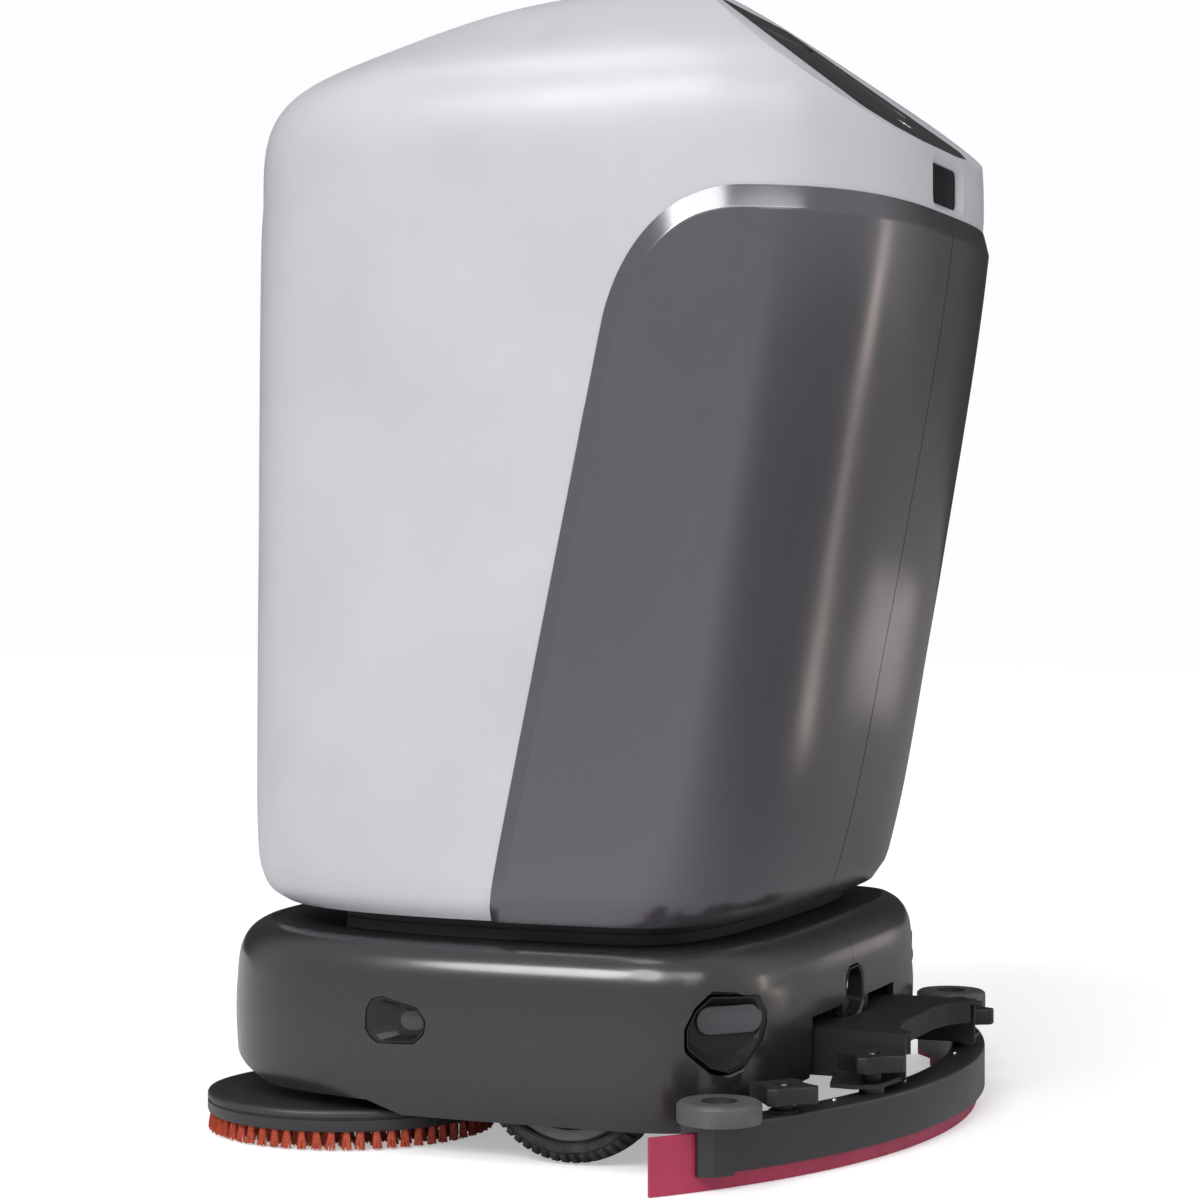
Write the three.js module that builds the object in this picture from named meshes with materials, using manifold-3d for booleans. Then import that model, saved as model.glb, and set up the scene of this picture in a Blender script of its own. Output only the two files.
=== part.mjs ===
// Robotic floor cleaner: a scrubber-dryer robot with a tall shell on a skirted base.
// Units are millimetres. +Z is up, the front faces -Y, the robot's left side is +X.
// The origin is on the floor under the middle of the object's box.
import * as THREE from "three";
import { mergeVertices } from "three/addons/utils/BufferGeometryUtils.js";
import Module from "manifold-3d";

const wasm = await Module();
wasm.setup();

// ---- Driving dimensions ----
const GAP = 0.3; // clearance between pieces that touch
const PLAN_Y = 86.5; // the line across the base that every plan outline is drawn from

const WHEEL_RADIUS = 93;
const WHEEL_Y = PLAN_Y - 20;
const TYRE_OUTER_X = 318;
const TYRE_WIDTH = 42;
const TYRE_X = TYRE_OUTER_X - TYRE_WIDTH / 2;

const SKIRT = { halfWidth: 337, front: 440, rear: 157, frontPower: 3.7, rearPower: 4 };
const SKIRT_WALL = 5;
const SKIRT_BOTTOM = 36;
const BODY_BOTTOM = 218;
const BODY_WALL = 5;
const ROOF_START = 900;
const ROOF_HEIGHT = 212;
const SHOULDER_HEIGHT = 139.5;
const BODY_SEGMENTS = 36; // points round the plan of the upper body
const BASE_SEGMENTS = 40; // points round the plan of the base
const DOOR_PROUD = 8;
const DOOR_TOP = 886;
const FLOOR_TOP = 224; // the sheet that closes the upper body below
const TANK_SPLIT = 560; // clean water below, recovered water above
const TANK_TOP = 860;

const CONSOLE_RIDGE = { y: 136.5, z: 1095 };
const CONSOLE_SLOPE = THREE.MathUtils.degToRad(36.9);
const CONSOLE_THICKNESS = 8;
const DISPLAY = { halfWidth: 92, from: 40, to: 165, depth: 5 };
const POWER_BUTTON = { along: 196, radius: 11 };
const ESTOP = { z: 860, bowlRadius: 38, bowlBack: -306, wall: 4, faceY: -340.5, stemRadius: 10, length: 44 };
const REAR_WINDOW = { y: 334, z: 915, halfWidth: 50, halfHeight: 19.5, depth: 12, wall: 4 };

const CHASSIS_BOTTOM = 150;
const CHASSIS_THICKNESS = 8;
const COVER = { bottom: 189, top: 197.7, insetBottom: 26, insetTop: 31.5 };
const SCANNER = { y: -255, radius: 32 };

const BRUSH_RADIUS = 140;
const BRUSH_TOP = 38;
const BRISTLE_LENGTH = 17;
const BRUSHES = { left: [205, -206.5], right: [-205, -206.5], centre: [0, -8.5] };

const CASTER = { y: -280, radius: 37.5, trail: 24 };
const RIM_RADIUS = 73;
const DECK = { bottom: 50, top: 56, radius: 60, motorTop: 122 };

const ARC_CENTRE_Y = -312.5; // the squeegee's curve, seen from above
const BLADE_RADIUS = 655;
const BLADE_HALF_ANGLE = 40.1;
const CHANNEL_HALF_ANGLE = 33.2;
const ROLLER = { x: 377, y: 236.5, radius: 37.5, bottom: 61, top: 80 };
const OUTER_KNOB = { x: 285, y: 264.5, bottom: 66 };
const INNER_KNOB = { x: 160, y: 308.7, bottom: 78 };
const KNOB_HEIGHT = 16;
const PIVOT = { y: 175, z: 100, pinRadius: 5, lugX: 150 };
const CHANNEL = { inner: 630, outer: 664, wall: 8, bottom: 15, top: 58 };
const END_ANGLE = 34.7;
const FLANGE_TOP = 68;
const CARRIER = { top: 108, thickness: 4, halfWidth: 126, rear: 335 };

// ---- Materials ----
function finish(color, roughness, metalness = 0) {
  return new THREE.MeshStandardMaterial({ color, roughness, metalness });
}
const white = finish(0xdad8de, 0.4);
const anthracite = finish(0x626066, 0.35, 0.7);
const glossDark = finish(0x444246, 0.25, 0.4);
const matteBlack = finish(0x1c1c1e, 0.6);
const softBlack = finish(0x2c2b2f, 0.55);
const blackGlass = finish(0x0c0c10, 0.08);
const tyreRubber = finish(0x1b1b1d, 0.85);
const rollerGrey = finish(0x605e62, 0.5);
const bladePink = finish(0xb83a5c, 0.45);
const bristleOrange = finish(0xc8401e, 0.7);
const steel = finish(0x9a9ca0, 0.35, 0.9);
const zincGrey = finish(0x77797c, 0.45, 0.6);
const tankBlue = finish(0x8fb4cf, 0.4);
const tankGrey = finish(0xa8a9ab, 0.5);
const stopRed = finish(0xb81d1d, 0.35);
const batteryGreen = finish(0x3d6b4a, 0.5);

// ---- Scene graph ----
const robot = new THREE.Group();
const base = new THREE.Group();
const upper = new THREE.Group();
const squeegee = new THREE.Group();
const brushDeck = new THREE.Group();
robot.add(base, upper, squeegee, brushDeck);

function addPart(group, name, geometry, material, x = 0, y = 0, z = 0) {
  const mesh = new THREE.Mesh(geometry, material);
  mesh.name = name;
  mesh.position.set(x, y, z);
  group.add(mesh);
  return mesh;
}

// ---- Solids ----
function toSolid(geometry) {
  const bare = geometry.clone();
  bare.deleteAttribute("normal");
  bare.deleteAttribute("uv");
  const merged = mergeVertices(bare, 1e-3);
  return new wasm.Manifold(
    new wasm.Mesh({
      numProp: 3,
      vertProperties: new Float32Array(merged.attributes.position.array),
      triVerts: new Uint32Array(merged.index.array),
    }),
  );
}

function toGeometry(solid) {
  const mesh = solid.getMesh();
  const geometry = new THREE.BufferGeometry();
  const positions = new Float32Array(mesh.numVert * 3);
  for (let i = 0; i < mesh.numVert; i++)
    positions.set(mesh.vertProperties.subarray(i * mesh.numProp, i * mesh.numProp + 3), i * 3);
  geometry.setAttribute("position", new THREE.BufferAttribute(positions, 3));
  geometry.setIndex(new THREE.BufferAttribute(new Uint32Array(mesh.triVerts), 1));
  return geometry;
}

function cut(from, ...tools) {
  return toGeometry(tools.reduce((solid, tool) => solid.subtract(toSolid(tool)), toSolid(from)));
}

function join(...geometries) {
  return toGeometry(geometries.map(toSolid).reduce((a, b) => a.add(b)));
}

function box(x0, x1, y0, y1, z0, z1) {
  return new THREE.BoxGeometry(x1 - x0, y1 - y0, z1 - z0).translate(
    (x0 + x1) / 2,
    (y0 + y1) / 2,
    (z0 + z1) / 2,
  );
}

// A lathe about Z from [radius, z] pairs listed upwards along the outside.
function turned(profile, segments = 32) {
  const points = profile.map(([radius, z]) => new THREE.Vector2(radius, z));
  return new THREE.LatheGeometry(points, segments).rotateX(Math.PI / 2);
}

function disc(radius, z0, z1, segments = 32) {
  return turned([[0, z0], [radius, z0], [radius, z1], [0, z1]], segments);
}

function bar(radius, x0, x1, y, z, segments = 20) {
  return disc(radius, x0, x1, segments)
    .rotateY(Math.PI / 2)
    .translate(0, y, z);
}

// A flat shape in plan, raised from z0 to z1.
function raised(shape, z0, z1, curveSegments = 12) {
  return new THREE.ExtrudeGeometry(shape, {
    depth: z1 - z0,
    bevelEnabled: false,
    curveSegments,
  }).translate(0, 0, z0);
}

function polygon(points) {
  return new THREE.Shape(points.map(([a, b]) => new THREE.Vector2(a, b)));
}

// A side profile of [y, z] points, carried along X from x0 to x1.
function sideProfile(shape, x0, x1) {
  const geometry = new THREE.ExtrudeGeometry(shape, { depth: x1 - x0, bevelEnabled: false });
  const toSide = new THREE.Matrix4().makeBasis(
    new THREE.Vector3(0, 1, 0),
    new THREE.Vector3(0, 0, 1),
    new THREE.Vector3(1, 0, 0),
  );
  return geometry.applyMatrix4(toSide).translate(x0, 0, 0);
}

// A band of the squeegee's curve between two radii and two angles from straight back.
function arcBand(r0, r1, z0, z1, from, to, segments = 16) {
  const shape = new THREE.Shape();
  const start = THREE.MathUtils.degToRad(90 - to);
  const end = THREE.MathUtils.degToRad(90 - from);
  shape.absarc(0, ARC_CENTRE_Y, r1, start, end, false);
  shape.absarc(0, ARC_CENTRE_Y, r0, end, start, true);
  return raised(shape, z0, z1, segments);
}

// One closed plan outline round PLAN_Y: superellipses with separate front and rear reach.
function outline(plan, inset, z, count) {
  const ring = [];
  for (let i = 0; i < count; i++) {
    const angle = (2 * Math.PI * (i + 0.5)) / count;
    const reach = angle < Math.PI ? plan.rear : plan.front;
    const power = angle < Math.PI ? plan.rearPower : plan.frontPower;
    const cos = Math.cos(angle);
    const sin = Math.sin(angle);
    const x = (plan.halfWidth - inset) * Math.sign(cos) * Math.abs(cos) ** (2 / power);
    const y = (reach - inset) * Math.sign(sin) * Math.abs(sin) ** (2 / power);
    ring.push(new THREE.Vector3(x, PLAN_Y + y, z));
  }
  return ring;
}

// A closed body through stacked outlines with the same number of points.
function loft(rings) {
  const count = rings[0].length;
  const points = rings.flat();
  const faces = [];
  for (let level = 0; level < rings.length - 1; level++)
    for (let i = 0; i < count; i++) {
      const a = level * count + i;
      const b = level * count + ((i + 1) % count);
      faces.push(a, b, b + count, a, b + count, a + count);
    }
  for (const [ring, flip] of [[0, true], [rings.length - 1, false]]) {
    const middle = new THREE.Vector3();
    rings[ring].forEach((point) => middle.addScaledVector(point, 1 / count));
    points.push(middle);
    for (let i = 0; i < count; i++) {
      const a = ring * count + i;
      const b = ring * count + ((i + 1) % count);
      faces.push(...(flip ? [b, a, points.length - 1] : [a, b, points.length - 1]));
    }
  }
  return new THREE.BufferGeometry().setFromPoints(points).setIndex(faces);
}

// ---- Upper body ----
// Wall levels: height, half width, front reach and rear reach from PLAN_Y.
const WALL_LEVELS = [
  [218, 305, 402, 114],
  [226, 312, 417, 120],
  [238, 318, 425, 127],
  [261, 321, 431, 134],
  [315, 322, 433, 148],
  [475, 322, 432, 180],
  [552, 322, 431, 195],
  [870, 322, 427, 248],
  [900, 321, 425, 251],
];

function bodyPlan([, halfWidth, front, rear]) {
  return { halfWidth, front, rear, frontPower: 3.17, rearPower: 3.2 };
}

function wallRings(inset, count) {
  return WALL_LEVELS.map((level) => outline(bodyPlan(level), inset, level[0], count));
}

// The roof closes over the walls: a rounded shoulder with a flatter crown on it.
function roofRings(inset, count) {
  const plan = bodyPlan(WALL_LEVELS[WALL_LEVELS.length - 1]);
  return [0.992, 0.97, 0.93, 0.87, 0.78, 0.65, 0.48, 0.3, 0.05].map((scale) => {
    const shoulder = (SHOULDER_HEIGHT - inset) * (1 - scale ** 6.4) ** (1 / 3.6);
    const crown = (ROOF_HEIGHT - SHOULDER_HEIGHT) * (1 - scale ** 3.1) ** 3.2;
    const height = shoulder + crown;
    return outline(plan, inset, ROOF_START + height, count).map((point) =>
      point.set(point.x * scale, PLAN_Y + (point.y - PLAN_Y) * scale, point.z),
    );
  });
}

// Everything above the console's slope, lowered by depth.
function aboveConsole(depth) {
  const slope = Math.tan(CONSOLE_SLOPE);
  const drop = depth / Math.cos(CONSOLE_SLOPE);
  const heightAt = (y) => CONSOLE_RIDGE.z - drop - slope * (y - CONSOLE_RIDGE.y);
  return sideProfile(
    polygon([[-100, heightAt(-100)], [500, heightAt(500)], [500, 1400], [-100, 1400]]),
    -500,
    500,
  );
}

// The console is a trapezium in its own plane, with a bowed lower edge.
function consoleShape(margin) {
  const half = [
    [111, 0],
    [170, 207],
    [128, 231],
    [64, 240],
  ];
  const grown = half.map(([x, along], i) => [x + margin, along + (i === 0 ? -margin : margin)]);
  return polygon([...grown, ...grown.map(([x, along]) => [-x, along]).reverse()].reverse());
}

const consoleGroup = new THREE.Group();
consoleGroup.position.set(0, CONSOLE_RIDGE.y, CONSOLE_RIDGE.z);
consoleGroup.rotation.x = -CONSOLE_SLOPE;
upper.add(consoleGroup);

function placedOnConsole(geometry) {
  consoleGroup.updateMatrixWorld(true);
  return geometry.applyMatrix4(consoleGroup.matrixWorld);
}

function alongY(geometry, y, z) {
  return geometry.rotateX(-Math.PI / 2).translate(0, y, z);
}

// The window is recessed in the rear face, above the doors.
function rearWindowBox(margin, y0, y1) {
  const { halfWidth, halfHeight, z } = REAR_WINDOW;
  const wide = halfWidth + margin;
  const high = halfHeight + margin;
  return box(-wide, wide, y0, y1, z - high, z + high);
}

function mirrored(geometry) {
  const copy = geometry.clone().scale(-1, 1, 1);
  const index = copy.index.array;
  for (let i = 0; i < index.length; i += 3)
    [index[i + 1], index[i + 2]] = [index[i + 2], index[i + 1]];
  return copy;
}

// The door's outline seen from the side: a raked front edge that sweeps round to a level top.
function doorOutline() {
  const shape = new THREE.Shape();
  shape.moveTo(-12.5, BODY_BOTTOM - 1);
  shape.lineTo(103.5, 765);
  shape.bezierCurveTo(116, 822, 158, DOOR_TOP, 232, DOOR_TOP);
  shape.lineTo(480, DOOR_TOP);
  shape.lineTo(480, BODY_BOTTOM - 1);
  shape.closePath();
  return shape;
}

function makeBodyShell() {
  const outer = toSolid(
    loft([...wallRings(0, BODY_SEGMENTS), ...roofRings(0, BODY_SEGMENTS)]),
  ).subtract(toSolid(aboveConsole(0)));
  const inner = toSolid(
    loft([
      outline(bodyPlan(WALL_LEVELS[0]), BODY_WALL, BODY_BOTTOM - 1, BODY_SEGMENTS),
      ...wallRings(BODY_WALL, BODY_SEGMENTS).slice(1),
      ...roofRings(BODY_WALL, BODY_SEGMENTS),
    ]),
  ).subtract(toSolid(aboveConsole(BODY_WALL)));
  const bowl = toSolid(
    alongY(disc(ESTOP.bowlRadius + ESTOP.wall, -380, ESTOP.bowlBack + ESTOP.wall), 0, ESTOP.z),
  );
  const bowlHollow = toSolid(alongY(disc(ESTOP.bowlRadius, -400, ESTOP.bowlBack), 0, ESTOP.z));
  const stemHole = toSolid(alongY(disc(ESTOP.stemRadius + 0.6, -400, -280, 20), 0, ESTOP.z));
  const windowBack = REAR_WINDOW.y - REAR_WINDOW.depth;
  const windowSocket = toSolid(
    rearWindowBox(REAR_WINDOW.wall, windowBack - REAR_WINDOW.wall, REAR_WINDOW.y + 10),
  );
  const windowHollow = toSolid(rearWindowBox(0, windowBack, REAR_WINDOW.y + 20));
  const doorway = toSolid(
    sideProfile(polygon([[45, 290], [128, 690], [175, 780], [175, 290]]), -400, 400),
  );
  const consoleOpening = toSolid(
    placedOnConsole(raised(consoleShape(GAP), -CONSOLE_THICKNESS - GAP, 5)),
  );
  return toGeometry(
    outer
      .subtract(inner)
      .add(bowl.intersect(outer))
      .subtract(bowlHollow)
      .subtract(stemHole)
      .add(windowSocket.intersect(outer))
      .subtract(windowHollow)
      .subtract(doorway)
      .subtract(consoleOpening),
  );
}

function makeLeftDoor() {
  const under = loft([
    outline(bodyPlan(WALL_LEVELS[0]), -GAP, BODY_BOTTOM - 5, BODY_SEGMENTS),
    ...wallRings(-GAP, BODY_SEGMENTS),
  ]);
  const skin = toSolid(loft(wallRings(-DOOR_PROUD, BODY_SEGMENTS))).subtract(toSolid(under));
  return toGeometry(skin.intersect(toSolid(sideProfile(doorOutline(), GAP / 2, 400))));
}

addPart(upper, "body_shell", makeBodyShell(), white);
const leftDoor = makeLeftDoor();
addPart(upper, "left_service_door", leftDoor, anthracite);
addPart(upper, "right_service_door", mirrored(leftDoor), anthracite);
addPart(
  upper,
  "body_floor",
  loft(
    [BODY_BOTTOM + GAP, FLOOR_TOP].map((z) =>
      outline(bodyPlan(WALL_LEVELS[0]), BODY_WALL + GAP + 0.2, z, BASE_SEGMENTS),
    ),
  ),
  zincGrey,
);

const displayOpening = box(
  -DISPLAY.halfWidth - GAP,
  DISPLAY.halfWidth + GAP,
  DISPLAY.from - GAP,
  DISPLAY.to + GAP,
  -DISPLAY.depth,
  1,
);
const buttonHole = disc(POWER_BUTTON.radius + GAP, -20, 5, 24).translate(0, POWER_BUTTON.along, 0);
addPart(
  consoleGroup,
  "console_panel",
  cut(raised(consoleShape(0), -CONSOLE_THICKNESS, 0), displayOpening, buttonHole),
  blackGlass,
);
addPart(
  consoleGroup,
  "console_display",
  box(-DISPLAY.halfWidth, DISPLAY.halfWidth, DISPLAY.from, DISPLAY.to, GAP - DISPLAY.depth, -0.4),
  blackGlass,
);
addPart(
  consoleGroup,
  "power_button",
  disc(POWER_BUTTON.radius, -CONSOLE_THICKNESS - 4, -0.2, 24),
  steel,
  0,
  POWER_BUTTON.along,
);
addPart(
  upper,
  "rear_window",
  rearWindowBox(-GAP, REAR_WINDOW.y - REAR_WINDOW.depth + GAP, REAR_WINDOW.y - REAR_WINDOW.depth + 5),
  blackGlass,
);

addPart(
  upper,
  "emergency_stop_button",
  alongY(
    turned([
      [0, 0], [16, 0], [21, 6], [21, 12], [ESTOP.stemRadius, 14], [ESTOP.stemRadius, ESTOP.length],
      [0, ESTOP.length],
    ], 20),
    ESTOP.faceY,
    ESTOP.z,
  ),
  stopRed,
);

// ---- Inside the body ----
// Each piece stands on the floor sheet or on the piece below it.
const onFloor = FLOOR_TOP + GAP;
const onTank = TANK_TOP + GAP;
addPart(upper, "battery_pack", box(-165, 165, -292, -110, onFloor, 420), batteryGreen);
addPart(upper, "control_box", box(-150, 150, -300, -215, 420 + GAP, 640), zincGrey);
addPart(upper, "water_pump", bar(32, 190, 275, -150, onFloor + 32.3, 24), softBlack);
addPart(upper, "clean_water_tank", box(-285, 285, -95, 118, onFloor, TANK_SPLIT), tankBlue);
addPart(upper, "suction_tube", disc(19, onFloor, TANK_SPLIT - GAP, 24), softBlack, 0, 140);
const recoveryBottom = TANK_SPLIT + GAP;
addPart(
  upper,
  "recovery_tank",
  sideProfile(
    polygon([[-205, recoveryBottom], [170, recoveryBottom], [245, TANK_TOP], [-205, TANK_TOP]]),
    -270,
    270,
  ),
  tankGrey,
);
addPart(
  upper,
  "recovery_tank_lid",
  turned([[0, onTank], [80, onTank], [80, 878], [60, 884], [0, 884]]),
  softBlack,
  0,
  90,
);
addPart(
  upper,
  "vacuum_motor",
  turned([[0, onTank], [72, onTank], [72, 940], [50, 960], [50, 985], [0, 985]]),
  zincGrey,
  0,
  -110,
);

// ---- Base ----
const SKIRT_LEVELS = [
  [36, 10],
  [50, 5],
  [80, 1],
  [115, 0],
  [150, 1.5],
  [175, 5],
  [190, 12.5],
  [198, 23],
];

// Pockets in the skirt, seen from outside: a soft-cornered polygon.
function pocketShape(halfWidth, halfHeight) {
  return polygon([
    [-halfWidth, -0.35 * halfHeight],
    [-0.55 * halfWidth, -halfHeight],
    [0.35 * halfWidth, -halfHeight],
    [halfWidth, -0.1 * halfHeight],
    [halfWidth, 0.55 * halfHeight],
    [0.6 * halfWidth, halfHeight],
    [-0.6 * halfWidth, halfHeight],
    [-halfWidth, 0.5 * halfHeight],
  ]);
}

// x, y and z of the pocket's middle, and the direction that it faces from above.
const SENSORS = {
  side: { x: 337, y: -98.5, z: 125, facing: 0, halfWidth: 38, halfHeight: 24 },
  corner: { x: 282, y: 214, z: 123, facing: 47, halfWidth: 46, halfHeight: 36 },
  rear: { x: 0, y: 243, z: 129, facing: 90, halfWidth: 27, halfHeight: 24 },
};

function sensorPrism(sensor, halfWidth, halfHeight, depth0, depth1) {
  return new THREE.ExtrudeGeometry(pocketShape(halfWidth, halfHeight), {
    depth: depth1 - depth0,
    bevelEnabled: false,
  })
    .translate(0, 0, depth0)
    .applyMatrix4(
      new THREE.Matrix4().makeBasis(
        new THREE.Vector3(0, 1, 0),
        new THREE.Vector3(0, 0, 1),
        new THREE.Vector3(1, 0, 0),
      ),
    )
    .rotateZ(THREE.MathUtils.degToRad(sensor.facing))
    .translate(sensor.x, sensor.y, sensor.z);
}

function pocketCut(sensor) {
  return sensorPrism(sensor, sensor.halfWidth, sensor.halfHeight, -26, 30);
}

function sensorHousing(sensor) {
  return sensorPrism(sensor, sensor.halfWidth - 0.6, sensor.halfHeight - 0.6, -16, -9);
}

function makeLeftSkirt() {
  const skirtRing = (z, inset) => outline(SKIRT, inset, z, BASE_SEGMENTS);
  const outer = loft(SKIRT_LEVELS.map(([z, inset]) => skirtRing(z, inset)));
  const innerLevels = [[30, 10], [80, 1], [150, 2], [175, 6], [205, 30]];
  const inner = loft(innerLevels.map(([z, inset]) => skirtRing(z, inset + SKIRT_WALL)));
  const lowerEdge = sideProfile(
    polygon([
      [-500, 0], [400, 0], [400, 62], [218, 62], [180, SKIRT_BOTTOM], [-96, SKIRT_BOTTOM],
      [-132, 48.5], [-250, 50], [-290, 62], [-354, 85], [-500, 85],
    ]),
    -1,
    500,
  );
  const carrierOpening = box(42, 134, 150, 400, 0, 120);
  const half = box(GAP / 2, 500, -500, 500, 0, 300);
  return toGeometry(
    toSolid(outer)
      .subtract(toSolid(inner))
      .subtract(toSolid(lowerEdge))
      .subtract(toSolid(carrierOpening))
      .subtract(toSolid(pocketCut(SENSORS.side)))
      .subtract(toSolid(pocketCut(SENSORS.corner)))
      .subtract(toSolid(pocketCut(SENSORS.rear)))
      .intersect(toSolid(half)),
  );
}

const leftSkirt = makeLeftSkirt();
addPart(base, "left_skirt", leftSkirt, glossDark);
addPart(base, "right_skirt", mirrored(leftSkirt), glossDark);
for (const name of ["side", "corner"]) {
  const housing = sensorHousing(SENSORS[name]);
  const indexed = mergeVertices(toGeometry(toSolid(housing)));
  addPart(base, "left_" + name + "_sensor", indexed, blackGlass);
  addPart(base, "right_" + name + "_sensor", mirrored(indexed), blackGlass);
}
addPart(base, "rear_sensor", sensorHousing(SENSORS.rear), blackGlass);

const scannerHole = disc(SCANNER.radius + GAP, 100, 300, 20).translate(0, SCANNER.y, 0);
addPart(
  base,
  "base_top_cover",
  cut(
    loft([
      outline(SKIRT, COVER.insetBottom, COVER.bottom, 48),
      outline(SKIRT, COVER.insetTop, COVER.top, 48),
    ]),
    scannerHole,
  ),
  softBlack,
);
addPart(
  base,
  "laser_scanner",
  turned([
    [0, 165], [SCANNER.radius, 165], [SCANNER.radius, 198], [SCANNER.radius + 10, 198],
    [SCANNER.radius + 10, 201], [SCANNER.radius, 201], [SCANNER.radius, 217], [0, 217],
  ], 20),
  blackGlass,
  0,
  SCANNER.y,
);

// A recessed band between the base and the body, open at the front for the scanner.
const NECK = { inset: 24, thickness: 20, frontEnd: -194 };
function neckLoft(z0, z1, inset) {
  return loft([z0, z1].map((z) => outline(bodyPlan(WALL_LEVELS[0]), inset, z, BASE_SEGMENTS)));
}
addPart(
  base,
  "neck_band",
  cut(
    neckLoft(198, BODY_BOTTOM, NECK.inset),
    neckLoft(190, 230, NECK.inset + NECK.thickness),
    box(-500, 500, -500, NECK.frontEnd, 100, 300),
  ),
  matteBlack,
);

// The chassis: a plate with two rails that carry the base top cover, lugs for the squeegee's
// pivot pin, and a block for the caster.
const chassisPlate = loft(
  [CHASSIS_BOTTOM, CHASSIS_BOTTOM + CHASSIS_THICKNESS].map((z) => outline(SKIRT, 45, z, 36)),
);
const rails = [-240, 240].map((x) => box(x - 15, x + 15, -250, 195, 157, 188.7));
const lugs = [-PIVOT.lugX, PIVOT.lugX].map((x) => box(x - 6, x + 6, 163, 187, 88, 151));
const casterBlock = box(-36, 36, CASTER.y - 36, CASTER.y + 36, 103, 151);
const wheelWells = [-1, 1].map((side) =>
  box(-24, 24, WHEEL_Y - 98, WHEEL_Y + 98, 100, 300).translate(side * TYRE_X, 0, 0),
);
addPart(
  base,
  "chassis_frame",
  cut(
    join(chassisPlate, ...rails, ...lugs, casterBlock),
    ...wheelWells,
    scannerHole,
    bar(PIVOT.pinRadius + GAP, -300, 300, PIVOT.y, PIVOT.z),
  ),
  zincGrey,
);

// ---- Drive wheels ----
for (const [side, name] of [[1, "left"], [-1, "right"]]) {
  const half = TYRE_WIDTH / 2;
  const tyre = turned([
    [RIM_RADIUS, -half + 3], [RIM_RADIUS + 4, -half], [WHEEL_RADIUS - 7, -half],
    [WHEEL_RADIUS, -half + 8], [WHEEL_RADIUS, half - 8], [WHEEL_RADIUS - 7, half],
    [RIM_RADIUS + 4, half], [RIM_RADIUS, half - 3], [RIM_RADIUS, -half + 3],
  ], 28).rotateY((side * Math.PI) / 2);
  const rim = turned([
    [9.3, -half + 4], [30, -half + 4], [30, -4], [58, -4], [62, -half + 4],
    [RIM_RADIUS - GAP, -half + 4], [RIM_RADIUS - GAP, half - 4], [64, half - 4], [56, half - 12],
    [20, half - 12], [16, half - 8], [9.3, half - 8], [9.3, -half + 4],
  ], 28).rotateY((side * Math.PI) / 2);
  const x = side * TYRE_X;
  addPart(base, name + "_tyre", tyre, tyreRubber, x, WHEEL_Y, WHEEL_RADIUS);
  addPart(base, name + "_wheel_rim", rim, rollerGrey, x, WHEEL_Y, WHEEL_RADIUS);
  const gearbox = box(215, 276, WHEEL_Y - 38, WHEEL_Y + 38, 60, 149.7);
  const motor = bar(34, 120, 216, WHEEL_Y, WHEEL_RADIUS, 24);
  const shaft = bar(9, 270, 306, WHEEL_Y, WHEEL_RADIUS);
  const gearmotor = join(gearbox, motor, shaft);
  addPart(base, name + "_gearmotor", side > 0 ? gearmotor : mirrored(gearmotor), zincGrey);
}

// ---- Caster ----
const axleY = CASTER.y + CASTER.trail;
const forkCheek = polygon([
  [-20, 102.7], [20, 102.7], [CASTER.trail + 12, CASTER.radius - 8],
  [CASTER.trail - 12, CASTER.radius - 8], [-20, 88],
]);
const forkCheeks = [-19, 16].map((x) => sideProfile(forkCheek, x, x + 3).translate(0, CASTER.y, 0));
const forkCrown = box(-19, 19, CASTER.y - 20, CASTER.y + 20, 97, 102.7);
const casterAxle = bar(5, -21, 21, axleY, CASTER.radius);
addPart(base, "caster_fork", join(...forkCheeks, forkCrown, casterAxle), steel);
addPart(
  base,
  "caster_wheel",
  turned([
    [5.3, -14], [14, -14], [14, -11], [CASTER.radius - 5, -11], [CASTER.radius, -7],
    [CASTER.radius, 7], [CASTER.radius - 5, 11], [14, 11], [14, 14], [5.3, 14], [5.3, -14],
  ], 20).rotateY(Math.PI / 2),
  tyreRubber,
  0,
  axleY,
  CASTER.radius,
);

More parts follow.
